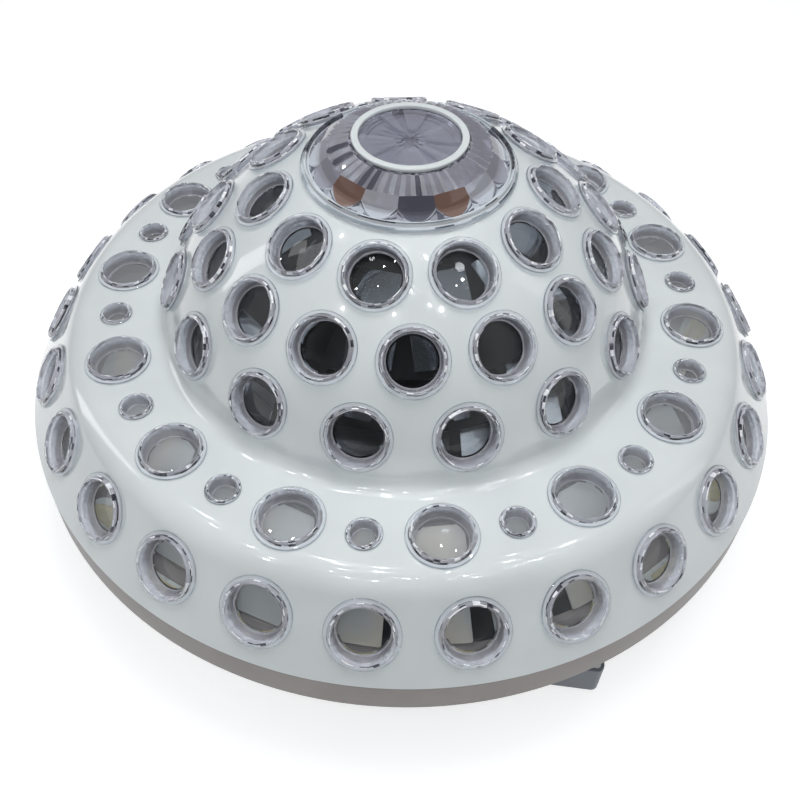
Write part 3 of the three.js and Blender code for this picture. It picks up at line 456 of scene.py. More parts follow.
bare_steel = metal("zinc_plated_steel", "#A7ABAE", "#BDC0C2", 0.32, 9, 0.02)
bare_aluminium = metal("extruded_aluminium", "#B9BCBE", "#CDD0D1", 0.38, 7, 0.03)
brass = metal("turned_brass", "#B5964F", "#C7AA63", 0.3, 5, 0.02)
mirror_film = metal("metallised_mirror_plastic", "#9CA1A6", "#B6BABE", 0.09, 50, 0.06)
silver_back = metal("silvered_back_of_acrylic", "#B2B3C2", "#CDCED9", 0.18, 25, 0.08)
# The cream in the plates' mottling is a painted reflection of the LEDs' phosphor.
satin_mirror = surface(
    "satin_vacuum_metallised_plate",
    {"Roughness": 0.3, "Metallic": 0.1},
    ("#D6D9DA", "#F2E9DB", noise(70, 1.0), 0.46, 0.6),
    (noise(30, 1.0), 0.15),
)
silver_facets = surface(
    "silvered_back_of_cut_facets",
    {"Roughness": 0.12, "Metallic": 1.0},
    ("#6F7079", "#D9DAE4", cells(16, "Color"), 0.3, 0.7),
    (cells(16), 0.8),
)
circuit_board = surface(
    "white_solder_mask_board", {"Roughness": 0.35, "IOR": 1.5}, ("#C9CCC6", "#E6E8E2", cells(5), 0.2, 0.5)
)
control_mask = surface(
    "green_solder_mask_board", {"Roughness": 0.3, "IOR": 1.5}, ("#123A24", "#2B6B45", cells(4), 0.25, 0.45)
)
phosphor = surface(
    "yellow_phosphor_of_white_leds", {"Roughness": 0.5}, ("#E6D8A8", "#F2E8C8", noise(1.5), 0.3, 0.7)
)
print("materials", len(bpy.data.materials))

# %% [markdown]
# ## Sizes of the shell
# These are the model's own values, in millimetres: a straight skirt, a rounded shoulder, a nearly flat
# ledge, and a dome that is part of a sphere. The outline is drawn once as a fine line, and everything
# that lies on the shell finds its place on that line.

# %% The shell's outline
DOME_RADIUS, DOME_CENTRE = 197.5, 104.0
RIM_RADIUS, RIM_TOP = 299.5, 101.3
SHOULDER_RADIUS, SHOULDER_Z, SHOULDER_BLEND = 258.0, 161.5, 13.0
LEDGE_INNER_Z, ROOT_BLEND = 164.0, 9.0
SHELL_WALL, CROWN_OPENING = 3.0, 62.0
ROOT_RADIUS = math.sqrt(DOME_RADIUS**2 - (LEDGE_INNER_Z - DOME_CENTRE) ** 2)


def bend(before, corner, after, reach, steps):
    """A rounded corner: the curve (1-t)^2 a + 2t(1-t) c + t^2 b from reach before it to reach after it."""
    before, corner, after = (np.array(p, float) for p in (before, corner, after))
    a = corner + (before - corner) * reach / np.linalg.norm(before - corner)
    b = corner + (after - corner) * reach / np.linalg.norm(after - corner)
    t = np.linspace(0, 1, steps)[:, None]
    return (1 - t) ** 2 * a + 2 * t * (1 - t) * corner + t**2 * b


def shell_outline():
    """(radius, height) from the rim over the shoulder, the ledge and the dome to the crown's opening."""
    rim, shoulder = (RIM_RADIUS, RIM_TOP), (SHOULDER_RADIUS, SHOULDER_Z)
    root = (ROOT_RADIUS, LEDGE_INNER_Z)
    start = math.asin((LEDGE_INNER_Z - DOME_CENTRE) / DOME_RADIUS)
    lift = np.linspace(start + ROOT_BLEND / DOME_RADIUS, math.acos(CROWN_OPENING / DOME_RADIUS), 400)
    dome = np.stack([DOME_RADIUS * np.cos(lift), DOME_CENTRE + DOME_RADIUS * np.sin(lift)], axis=-1)
    shoulder_curve = bend(rim, shoulder, root, SHOULDER_BLEND, 60)
    root_curve = bend(shoulder, root, dome[0], ROOT_BLEND, 60)[:-1]
    return np.concatenate([[rim], shoulder_curve, root_curve, dome])


outline = shell_outline()
outline_run = np.concatenate([[0], np.cumsum(np.linalg.norm(np.diff(outline, axis=0), axis=1))])
NORMAL_REACH = 0.4


def at_run(run):
    """Radius and height where the outline has run a given length."""
    return [np.interp(run, outline_run, outline[:, i]) for i in (0, 1)]


def on_outline(run):
    """Radius, height and outward normal (radial, upward) where the outline has run a given length."""
    ahead, behind = run + NORMAL_REACH, run - NORMAL_REACH
    here, after, before = (at_run(length) for length in (run, ahead, behind))
    step = [after[i] - before[i] for i in (0, 1)]
    length = np.hypot(*step)
    return *here, step[1] / length, -step[0] / length


print("the outline is", round(outline_run[-1], 1), "mm long")

# %% [markdown]
# ## Rows of lens cups
# The cups stand square to the shell in five rows: a skirt row, a ledge row of large and small cups in
# turn, and three rows up the dome. Each cup has a frame of its own: one axis along the row, one up the
# shell and one straight out.

# %% Frames of the cups
def row_frames(count, start, radius, height, lift):
    """Axes and middle of each cup at equal azimuths: out = (cos l sin a, -cos l cos a, sin l)."""
    azimuth, lift = np.radians(start + 360 * np.arange(count) / count), math.radians(lift)
    along = np.stack([np.cos(azimuth), np.sin(azimuth), 0 * azimuth], axis=-1)
    out = around(math.cos(lift), azimuth, math.sin(lift))
    return np.stack([along, np.cross(out, along), out], axis=1), around(radius, azimuth, height)


def on_sphere(radius, lift):
    """Radius and height at a lift in degrees on a sphere round the dome's centre."""
    return radius * math.cos(math.radians(lift)), DOME_CENTRE + radius * math.sin(math.radians(lift))


def dome_row(count, start, lift):
    """Frames of a row that stands square on the dome."""
    return row_frames(count, start, *on_sphere(DOME_RADIUS, lift), lift)


SKIRT_LIFT, LEDGE_LIFT = 34.45, 87.95
LEDGE_START, LEDGE_COUNT, LEDGE_ROW_RADIUS, LEDGE_ROW_Z = 13.4, 14, 225.0, 162.68
ledge_row = (LEDGE_ROW_RADIUS, LEDGE_ROW_Z, LEDGE_LIFT)
cup_rows = {
    "skirt": row_frames(25, 1.9, 278.6, 131.4, SKIRT_LIFT),
    "ledge": row_frames(LEDGE_COUNT, LEDGE_START, *ledge_row),
    "ledge_small": row_frames(LEDGE_COUNT, LEDGE_START + 180 / LEDGE_COUNT, *ledge_row),
    "lower": dome_row(15, 20.6, 28.1),
    "middle": dome_row(15, 8.6, 43.4),
    "upper": dome_row(11, 27.7, 58.8),
}
print("cups", {name: len(middle) for name, (_, middle) in cup_rows.items()})

# %% [markdown]
# ## The shell
# The shell is one moulding with a hole for every cup. Holes could be cut with 94 Booleans, but those
# leave long thin faces that spoil gloss. Here a fine grid covers the outline, the faces over a hole are
# left out, and the points along its edge slide over the shell until they lie on the hole's circle. The
# normals come from the outline itself, so the highlights run as smoothly as on the real moulding.

# %% The shell's grid and its holes
SHELL_COLUMNS, SHELL_ROWS = 416, 140
BIG_HOLE, SMALL_HOLE = 21.1, 10.3


def shell_points(run, azimuth, depth):
    """Points and normals on the shell at a run and an azimuth, moved in along the normal by a depth."""
    radius, height, outward, upward = on_outline(run)
    normal = around(outward, azimuth, upward)
    return around(radius, azimuth, height) - depth * normal, normal


def nearest_run(points):
    """The run of the outline's point that lies nearest to each given point's radius and height."""
    place_2d = np.stack([np.hypot(points[:, 0], points[:, 1]), points[:, 2]], axis=-1)
    gap = np.linalg.norm(place_2d[:, None] - dense_outline[None], axis=-1)
    return dense_run[gap.argmin(axis=1)]


dense_run = np.linspace(0, outline_run[-1], 3000)
dense_outline = np.stack(at_run(dense_run), axis=-1)
run, azimuth = (
    a.ravel()
    for a in np.meshgrid(
        np.linspace(0, outline_run[-1], SHELL_ROWS),
        2 * np.pi * np.arange(SHELL_COLUMNS) / SHELL_COLUMNS,
        indexing="ij",
    )
)
outer, _ = shell_points(run, azimuth, 0)
quads = grid_faces(SHELL_ROWS, SHELL_COLUMNS).reshape(-1, 4)
face_middles = outer[quads].mean(axis=1)
open_faces = np.zeros(len(quads), bool)
edge_moves = []
for row_name, (axes, middles) in cup_rows.items():
    hole = SMALL_HOLE if row_name == "ledge_small" else BIG_HOLE
    for basis, middle in zip(axes, middles):
        plane, out, away = basis[:2], basis[2], face_middles - middle
        over = (np.linalg.norm(away @ plane.T, axis=1) < hole) & (np.abs(away @ out) < hole)
        edge = np.intersect1d(quads[over].ravel(), quads[~over & ~open_faces].ravel())
        offset = outer[edge] - middle
        flat = offset @ plane.T
        slid = flat * hole / np.linalg.norm(flat, axis=1, keepdims=True)
        edge_moves.append((edge, middle + slid @ plane + (offset @ out)[:, None] * out))
        open_faces |= over
for edge, moved in edge_moves:
    run[edge] = nearest_run(moved)
    azimuth[edge] = np.arctan2(moved[:, 0], -moved[:, 1])
kept = quads[~open_faces]
print("shell faces kept", len(kept), "of", len(quads), "with holes", len(edge_moves))


# %% Close the shell's wall and set its normals
def shell_mesh():
    """Outer and inner faces, with a strip of wall along every open edge, and normals from the outline."""
    outer_points, normals = shell_points(run, azimuth, 0)
    inner_points, _ = shell_points(run, azimuth, SHELL_WALL)
    count = len(outer_points)
    sides = np.concatenate([kept[:, [i, (i + 1) % 4]] for i in range(4)])
    keys = np.sort(sides, axis=1)
    _, first, times = np.unique(keys, axis=0, return_index=True, return_counts=True)
    border = sides[first[times == 1]]
    strip = np.stack([border[:, 1], border[:, 0], border[:, 0] + count, border[:, 1] + count], axis=-1)
    faces = np.concatenate([kept, kept[:, ::-1] + count, strip])
    used, numbers = np.unique(faces, return_inverse=True)
    faces = numbers.reshape(-1, 4)
    mesh = bpy.data.meshes.new("moulded_shell")
    mesh.from_pydata(np.concatenate([outer_points, inner_points])[used] * MM, [], faces.tolist())
    # The dome's inner faces are painted black: painted shade.
    dome_inside = inner_points[kept].mean(axis=1)[:, 2] > LEDGE_INNER_Z + ROOT_BLEND
    marks = np.concatenate([np.zeros(len(kept)), np.where(dome_inside, 2, 1), np.zeros(len(strip))])
    for material in (white_gloss, white_inside, black_painted_shade):
        mesh.materials.append(material)
    mesh.polygons.foreach_set("material_index", marks.astype(int))
    mesh.shade_smooth()
    corner_normals = np.concatenate([normals, -normals])[used][faces]
    flat = np.zeros(len(mesh.polygons) * 3)
    mesh.polygons.foreach_get("normal", flat)
    flat = flat.reshape(-1, 3)
    first_wall = len(kept) * 2
    corner_normals[first_wall:] = flat[first_wall:, None]
    if (flat[: len(kept)] * corner_normals[: len(kept), 0]).sum() < 0:
        mesh.flip_normals()
        corner_normals = corner_normals[:, [0, 3, 2, 1]]
        corner_normals[first_wall:] *= -1
    mesh.normals_split_custom_set(corner_normals.reshape(-1, 3))
    return mesh


shell = linked("moulded_shell", shell_mesh())
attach(shell, "base")
print("moulded_shell:", len(shell.data.polygons), "faces")

# %% [markdown]
# ## Screw posts under the shell
# Five posts reach down from the skirt to the pan, between the cups. Each is a round pillar whose top
# follows the inside of the sloping skirt.

# %% Posts
POST_COUNT, POST_START, POST_ROW_RADIUS, POST_RADIUS = 5, 9.1, 281.0, 6.0
POST_FOOT, POST_BORE, POST_BORE_DEPTH, POST_TOP, POST_UNDER_SKIN = 74.3, 2.4, 12, 100, 2.4


def post_parts():
    """A post is a turned pillar with a bore; its top is moved to just under the skirt's outer face."""
    bore = POST_FOOT + POST_BORE_DEPTH
    points, faces = lathe(
        [(0, bore), (POST_BORE, bore), (POST_BORE, POST_FOOT), (POST_RADIUS - 0.4, POST_FOOT),
         (POST_RADIUS, POST_FOOT + 0.4), (POST_RADIUS, POST_TOP), (0, POST_TOP)], 24
    )
    parts = []
    for i in range(POST_COUNT):
        azimuth = math.radians(POST_START + 360 * i / POST_COUNT)
        spot = points + around(POST_ROW_RADIUS, azimuth, 0)
        skirt_z = np.interp(-np.hypot(spot[..., 0], spot[..., 1]), -outline[:, 0], outline[:, 1])
        spot[..., 2] = np.where(points[..., 2] == POST_TOP, skirt_z - POST_UNDER_SKIN, spot[..., 2])
        parts.append((spot, [faces], white_inside))
    return parts


put("shell_posts", post_parts(), "base")
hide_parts("dome_shell")

# %% [markdown]
# ## Lens cups
# A cup is a clear flange that lies on the shell, a raised collar with a cut edge, and a recess that
# ends in a flat window. It could be one smooth turned shape, but the photograph shows irregular black
# and white glints in the collar. So the collar's radius steps in and out by a random part of a
# millimetre from face to face, and its faces stay flat. A random share of them is given a painted dark
# or bright reflection, as painted glints. The ledge's windows face upwards and gather dust, so theirs is
# the hazy acrylic.

# %% One lens cup
CUP_STEPS, CUP_FACET_DEPTH = 60, 0.4
# DARK and BRIGHT faces carry painted glints: a painted dark or bright reflection.
SMOOTH, EDGE, RIM, CUT, DARK, BRIGHT, WALL = range(7)
CUP_MATERIALS = (clear_edge, clear_rim, clear_cut, painted_dark_glint, painted_bright_glint, clear_wall)
ROW_KINDS = [SMOOTH] * 3 + [EDGE] + [RIM] * 3 + [EDGE] * 2 + [CUT] * 6 + [WALL] * 5 + [SMOOTH] * 7
DARK_SHARES = [0] * 9 + [0.3, 0.4, 0.12, 0.1, 0.05, 0.12] + [0] * 12
BRIGHT_SHARES = [0] * 9 + [0.1, 0.08, 0.18, 0.22, 0.15, 0.15] + [0] * 12
big_cup = {
    "under": (-9.2, 20.6), "flange": 24.5, "step": 22.2, "collar": 21.9, "bead": 21.0, "rise": 5.0,
    "mouth": 19.6, "window": 17.8, "depth": 7.0, "bulge": 1.1,
}
skirt_cup = {**big_cup, "flange": 25.3, "step": 22.9, "collar": 22.6, "bead": 21.6, "mouth": 20.0}
small_cup = {
    "under": (-9.2, 9.8), "flange": 12.4, "step": 11.7, "collar": 11.3, "bead": 10.7, "rise": 3.0,
    "mouth": 9.4, "window": 8.0, "depth": 7.0, "bulge": 0.4,
}


def cup_profile(cup):
    """(radius, height, facet share) points from the middle below to the middle of the domed window."""
    bottom, spigot = cup["under"]
    rise, window, floor, mouth = cup["rise"], cup["window"], -cup["depth"], cup["mouth"]
    steps = (0.92, 0.8, 0.65, 0.5, 0.35, 0.18, 0)
    dome = [(window * t, floor + cup["bulge"] * (1 - t**2), 0) for t in steps]
    return np.array([
        (0, bottom, 0), (spigot - 1.0, bottom, 0), (spigot, bottom + 0.8, 0), (spigot, 0.25, 0),
        (cup["flange"] - 0.3, 0.25, 0), (cup["flange"], 0.5, 0), (cup["flange"], 1.15, 0),
        (cup["flange"] - 0.4, 1.5, 0), (cup["step"] + 0.3, 1.6, 0), (cup["step"], 1.8, 0),
        (cup["collar"], 2.2, 0.5), (cup["collar"] - 0.2, 0.5 * rise + 0.9, 1), (cup["bead"], rise - 0.4, 1),
        (cup["bead"] - 0.5, rise, 0.7), (mouth + 0.5, rise, 0.7), (mouth, rise - 0.4, 0.5),
        (0.8 * mouth + 0.2 * window, 0.4 * rise, 0), (0.3 * mouth + 0.7 * window, 0.7 * floor, 0),
        (window + 0.35, floor + 0.9, 0), (window, floor + 0.75, 0), (window - 0.3, floor + 0.4, 0), *dome,
    ])


def cup_points(cup, seed):
    """The turned profile, with each pair of columns moved in or out by a random part of the facet depth."""
    profile = cup_profile(cup)
    points, faces = lathe(profile[:, :2], CUP_STEPS)
    random = np.random.default_rng(seed)
    facet = CUP_FACET_DEPTH * random.uniform(-1, 1, (len(profile), CUP_STEPS // 2)).repeat(2, axis=1)
    radius = np.maximum(profile[:, :1], 1e-6)
    scale = 1 + profile[:, 2:] * facet / radius
    return points * np.stack([scale, scale, np.ones_like(scale)], axis=-1), faces


def face_kinds(seed):
    """The kind of every face: its row's kind, but a random share of the cut facets gets a painted dark or
    bright glint.
    """
    random = np.random.default_rng(seed + 500)
    chance = random.uniform(size=(len(ROW_KINDS), CUP_STEPS // 2)).repeat(2, axis=1)
    kinds = np.repeat(np.array(ROW_KINDS)[:, None], CUP_STEPS, axis=1)
    kinds[chance < np.array(DARK_SHARES)[:, None]] = DARK
    kinds[chance > 1 - np.array(BRIGHT_SHARES)[:, None]] = BRIGHT
    return kinds


def cup_parts(cup, frames, seed, window):
    """Copies of a cup on every frame of a row, with three patterns of facets in turn."""
    axes, middles = frames
    parts = []
    for variant in range(3):
        points, faces = cup_points(cup, seed + variant)
        chosen = slice(variant, None, 3)
        spots = np.einsum("pi,fij->fpj", points.reshape(-1, 3), axes[chosen]) + middles[chosen][:, None]
        shift = points.size // 3 * np.arange(len(spots))[:, None, None]
        kinds = face_kinds(seed + variant)
        blocks = [(faces[kinds == kind] + shift).reshape(-1, 4) for kind in range(len(CUP_MATERIALS) + 1)]
        parts += [(spots, [block], material) for block, material in zip(blocks, (window, *CUP_MATERIALS))]
    return parts


print("a cup's profile has", len(cup_profile(big_cup)), "points, turned in", CUP_STEPS, "steps")

# %% The five rings of cups
CUP_CREASE = 11
rings = {"skirt": skirt_cup, "ledge": big_cup, "lower": big_cup, "middle": big_cup, "upper": big_cup}
for number, (ring, cup) in enumerate(rings.items()):
    members = [(cup, ring)] + [(small_cup, "ledge_small")] * (ring == "ledge")
    window = hazy_smooth if ring == "ledge" else clear_smooth
    seed = 10 * number + 1
    parts = [one for cup, row in members for one in cup_parts(cup, cup_rows[row], seed, window)]
    put(f"{ring}_cups", parts, "base", [f"{ring}_lens_ring"], CUP_CREASE)

# %% [markdown]
# ## The crown
# The crown is one thick cut lens. A flange with a double edge lies on the dome, a band of big scalloped
# facets is ground as on a gem, and narrow flutes climb to a thin white ring round a flat window. It is
# one grid: where a flat facet would stand outside the bulging band, the band stays, and the border
# between the two is an arc. So each column of the grid has a row of points right on that arc.

# %% The cut crown
CROWN_SEAT, CROWN_MOUTH, CROWN_LEDGE, CROWN_TOP = 286.59, 291.81, 309.59, 312.59
GEM_SIDES, FLUTES, COLUMNS_PER_GEM = 16, 48, 18
CROWN_STEPS = GEM_SIDES * COLUMNS_PER_GEM
GEM_LOW, GEM_TOP, GEM_MEETING, GEM_RIDGE = (69.6, 5.6), (57.0, 17.3), 0.55, 1.006
FLUTE_DEPTH = 0.9


def gem_rows(turn):
    """Scalloped facets: r = line / cos(a) on a facet's plane, and line / cos(A sqrt(s / m)) below its arc,
    where a is the angle from the facet's middle, A half a facet and the arc lies at s = m (a / A)^2."""
    half = math.pi / GEM_SIDES
    from_middle = np.abs((turn * GEM_SIDES / (2 * np.pi)) % 1 - 0.5) * 2 * half
    arc = GEM_MEETING * (from_middle / half) ** 2
    rows = []
    for share in np.linspace(0, 1, 6):
        along = arc * share
        rows.append((along, np.cos(half * np.sqrt(along / GEM_MEETING))))
    rows.append((arc + 0.02, np.cos(from_middle) / GEM_RIDGE))
    for share in (0.1, 0.33, 0.67, 1.0):
        rows.append((arc + (1 - arc) * share, np.cos(from_middle)))
    low, top = np.array(GEM_LOW), np.array(GEM_TOP)
    radius = np.array([(low[0] + (top[0] - low[0]) * along) / bend_out for along, bend_out in rows])
    height = np.array([CROWN_SEAT + low[1] + (top[1] - low[1]) * along for along, _ in rows])
    return around(radius, turn, height)


CROWN_MATERIALS = (clear_crown, clear_edge, clear_rim, *crown_facets, painted_dark_glint)
PLAIN, FLANGE, LIP, LIGHT, GREY, DEEP, WARM, FAINT, SHADE = range(9)
GEM_PLANES, FLUTE_ROWS = 5, 4
# Painted reflections: the tone that each big facet shows, one by one.
GEM_TONES = [
    DEEP, WARM, LIGHT, GREY, LIGHT, DEEP, GREY, LIGHT, GREY, DEEP, LIGHT, GREY, LIGHT, GREY, WARM, LIGHT
]


def crown_kinds(rows, flange_rows, shelf_rows):
    """The kind of every front face: flange, lip, and the painted reflection tone of each big facet and of
    each half of a flute, with painted glints and shade.
    """
    random = np.random.default_rng(4)
    column = np.arange(CROWN_STEPS)
    gems = np.array(GEM_TONES)[column // COLUMNS_PER_GEM]
    half_flute = column * 2 * FLUTES // CROWN_STEPS
    # Flute halves alternate light and grey: painted light and shade on a flute's two sides.
    halves = np.where(half_flute % 2, GREY, LIGHT)
    halves = np.where(random.uniform(size=2 * FLUTES)[half_flute] < 0.1, DEEP, halves)
    half_gem = 2 * column // COLUMNS_PER_GEM
    halves = np.where(random.uniform(size=2 * GEM_SIDES)[half_gem] < 0.15, GREY, halves)
    kinds = np.full((rows, CROWN_STEPS), PLAIN)
    # Painted glints: random tones in the band below the big facets.
    mixed = random.choice([PLAIN, DEEP, DEEP, LIGHT, GREY], (rows - flange_rows, CROWN_STEPS // 3))
    kinds[flange_rows:] = mixed.repeat(3, 1)
    kinds[:flange_rows] = FLANGE
    kinds[[4, flange_rows - 3]] = LIP
    # Painted glints: dark and grey segments along the flange.
    glints = random.choice([FLANGE, FLANGE, SHADE, LIP], (2, CROWN_STEPS // 8)).repeat(8, 1)
    kinds[[5, flange_rows - 5]] = glints
    # Painted shade: dark crescents in the flange at the left and right.
    aside = np.abs(np.cos(2 * np.pi * column / CROWN_STEPS) + 0.3) < 0.35
    kinds[flange_rows - 4 : flange_rows - 1, aside] = SHADE
    flutes_end = rows - shelf_rows + 1
    kinds[flutes_end - FLUTE_ROWS : flutes_end] = halves
    kinds[flutes_end - FLUTE_ROWS - GEM_PLANES : flutes_end - FLUTE_ROWS] = gems
    return kinds


def above(base, profile):
    """A profile of (radius, height over a base) as (radius, height)."""
    return [(radius, base + height) for radius, height in profile]


def crown_parts():
    """Silvered back, flange with a raised lip, scalloped facets and flutes, all on the same columns."""
    back = above(CROWN_LEDGE, [(35.5, -4), (36.5, -4.4)])
    back += above(CROWN_MOUTH, [(54, -9), (58.6, -9), (59, -8.6), (59, 0)])
    flange = above(CROWN_MOUTH, [(59, 0), (62, 0)]) + above(CROWN_SEAT, [
        (75.4, 0.2), (76, 0.8), (76, 3.0), (75.3, 3.9), (74.2, 4.2), (73.5, 4.9), (73.2, 7.0), (72.6, 7.8),
        (71.7, 7.8), (71.1, 7.0), (70.7, 5.2),
    ])
    flutes = above(CROWN_SEAT, [(55.9, 17.9), (49.0, 20.6), (43.0, 22.4)])
    shelf = above(CROWN_SEAT, [(42.0, 22.6)]) + above(CROWN_LEDGE, [(41.4, 0), (35.5, 0), (35.5, -4)])
    turn = 2 * np.pi * np.arange(CROWN_STEPS) / CROWN_STEPS
    wave = np.abs((turn * FLUTES / (2 * np.pi)) % 1 - 0.5) * 4 - 1
    flange_points, flute_points, shelf_points = (lathe(p, CROWN_STEPS)[0] for p in (flange, flutes, shelf))
    flute_points[..., 2] += FLUTE_DEPTH * np.array([[0.9], [1.0], [0.5]]) * wave
    points = np.concatenate([flange_points, gem_rows(turn), flute_points, shelf_points])
    faces = grid_faces(len(points), CROWN_STEPS)
    kinds = crown_kinds(len(faces), len(flange), len(shelf))
    front = [(points, [faces[kinds == kind]], material) for kind, material in enumerate(CROWN_MATERIALS)]
    return [part(lathe(back, CROWN_STEPS), silver_facets), *front]


put("cut_crown", crown_parts(), "base", ["crown_lens"], 4)

# %% [markdown]
# ## The crown's ring and window
# A thin white ring frames the crown's flat window, whose disc is clear and silvered on its back. A
# rosette of twelve petals and a fan of faint wedges are moulded in its face. They could be a bump in the
# material, but real waves a fifth of a millimetre high bend what the silver mirrors, as the moulding does.

# %% The white ring and the window of the crown
ring_profile = above(CROWN_LEDGE, [(35.6, 0.31), (40.3, 0.31), (40.5, 0.6)]) + above(CROWN_TOP, [
    (40.5, -0.7), (40.1, -0.15), (39.4, 0), (36.4, 0), (35.8, -0.2), (35.5, -0.7)
]) + above(CROWN_LEDGE, [(35.5, 0.5), (35.6, 0.31)])
put("crown_trim_ring", [part(lathe(ring_profile, 144), white_gloss)], "base", ["crown_ring"])


def crown_glass_parts():
    """A disc whose top has a rosette of 12 petals and 24 faint wedges: height = depth cos(n a) share(r)."""
    radii = np.array([0, 1.5, 3, 4.5, 6, 7.5, 9, 11, 14, 18, 22, 26, 30, 31, 33.6, 34.9, 35.2])
    top = [(radius, CROWN_LEDGE - 0.1) for radius in radii]
    rest = [(35.2, CROWN_LEDGE - 3.7), (34.9, CROWN_LEDGE - 4), (0, CROWN_LEDGE - 4)]
    points, faces = lathe(top + rest, 96)
    angle = 2 * np.pi * np.arange(96) / 96
    petals = np.interp(radii, [0, 2, 5, 9, 10], [0, 0.12, 0.2, 0.12, 0])[:, None] * np.cos(12 * angle)
    wedge_share = np.interp(radii, [10, 14, 30, 31], [0, 0.16, 0.16, 0])[:, None]
    wedges = wedge_share * (((24 * angle / (2 * np.pi)) % 1 + 1e-9).round(6) - 0.5)
    sunk = 0.3 * np.interp(radii, [0, 10, 30, 31], [1, 1, 1, 0])[:, None]
    split = len(radii)
    points[:split, :, 2] += petals + wedges - sunk
    # The pale wedges take the faint facet tone: a painted reflection.
    pale = np.random.default_rng(2).uniform(size=24).repeat(4) < 0.45
    clear = [faces[:7].reshape(-1, 4), faces[7:split, ~pale].reshape(-1, 4)]
    return [
        (points, clear, clear_crown), (points, [faces[7:split, pale]], crown_facets[-1]),
        (points, [faces[split:]], silver_back),
    ]


put("crown_glass", crown_glass_parts(), "base", ["crown_window"], 3)

# %% [markdown]
# ## Mirrors and LEDs behind the skirt
# Behind each skirt cup leans a flat mirror plate that turns the LEDs' light outwards, and a short white
# board with warm LEDs lies at its foot. Plates and boards are straight pieces on a round ring, so dark
# wedges open between them, and one such edge shows through each window. A black cone carries the
# plates from just behind, and each plate is turned by a small random angle, as a hand-fitted plate is.

# %% Reflector cone, plates and LED boards
CONE_FOOT, CONE_HIGH, CONE_WALL, CONE_BEHIND = (257.0, 74.3), (206.5, 143.7), 2.0, 3.2
PLATE_COUNT, PLATE_START, PLATE_WIDTH, PLATE_TAPER = 25, -2.1, 47.5, 0.0012
LED_RING_MIDDLE, LED_RING_WIDTH, LED_BOARD_LENGTH = 266.5, 11.0, 56.0
led_low, led_high = (corner[2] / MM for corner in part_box("outer_led_ring"))


def reflector_parts():
    """The cone is a turned wall; a plate is a thin slab on its slope, narrower upwards by the taper."""
    (r0, z0), (r1, z1) = CONE_FOOT, CONE_HIGH
    foot, high = r0 - CONE_BEHIND, r1 - CONE_BEHIND
    cone = lathe([
        (foot - CONE_WALL, z0), (foot, z0), (high, z1), (high - CONE_WALL, z1 - CONE_WALL),
        (foot - CONE_WALL, z0 + CONE_WALL), (foot - CONE_WALL, z0),
    ], 150)
    parts = [part(cone, black_plastic)]
    lift = math.degrees(math.atan2(r0 - r1, z1 - z0))
    plate, plate_faces = stack(
        rounded_outline(PLATE_WIDTH, math.hypot(r0 - r1, z1 - z0) - 3, 1.5, 3),
        [(None, -0.8), (0.2, -0.8), (0, -0.6), (0, -0.2), (0.2, 0), (None, 0)],
    )
    plate[..., 0] *= 1 - PLATE_TAPER * plate[..., 1]
    flat = math.cos(math.pi / PLATE_COUNT)
    axes, middles = row_frames(PLATE_COUNT, PLATE_START, (r0 + r1) / 2 * flat, (z0 + z1) / 2, lift)
    random = np.random.default_rng(7)
    for basis, middle in zip(axes, middles):
        spin = math.radians(random.uniform(-2.5, 2.5))
        along = math.cos(spin) * basis[0] + math.sin(spin) * basis[1]
        up = math.cos(spin) * basis[1] - math.sin(spin) * basis[0]
        parts.append((place(plate, middle, along, up), [plate_faces], satin_mirror))
    return parts


def led_parts():
    """Straight boards in a ring, each under a plate, with a domed strip of phosphor along its middle."""
    face = led_high - 1
    board = stack(
        rounded_outline(LED_BOARD_LENGTH, LED_RING_WIDTH - 1, 0.6, 2),
        [(None, led_low), (0, led_low), (0, face), (None, face)],
    )
    strip = stack(
        rounded_outline(LED_BOARD_LENGTH - 4, 6, 2.9, 4),
        [(None, face), (0, face), (0.3, led_high - 0.5), (1.2, led_high - 0.1), (None, led_high)],
    )
    axes, middles = row_frames(PLATE_COUNT, PLATE_START, LED_RING_MIDDLE, 0, 90)
    return [
        (place(points, middle, *basis[:2]), [faces], material)
        for basis, middle in zip(axes, middles)
        for (points, faces), material in ((board, circuit_board), (strip, phosphor))
    ]


put("mirror_plates", reflector_parts(), "base", ["outer_reflector"])
put("led_boards", led_parts(), "base", ["outer_led_ring"])

# %% [markdown]
# ## The mirror basket
# Inside the dome turns a basket that carries small flat mirrors. It is black, as painted shade, so through
# the dome's windows it shows as near black with a pale sliver here and there. The basket is a turned
# shell, and the mirrors are thin plates set on its outside, each tipped a little.

# %% Basket and its mirrors
BASKET_RADIUS, BASKET_WALL, MIRROR_STAND = 168.0, 2.5, 1.6
BASKET_TIERS = ((12, 27, 22), (27, 40, 20), (40, 53, 16), (53, 64, 12), (64, 74, 8))
MIRROR_SHARE, MIRROR_GAPS, MIRROR_TIP = 0.86, 0.1, 3


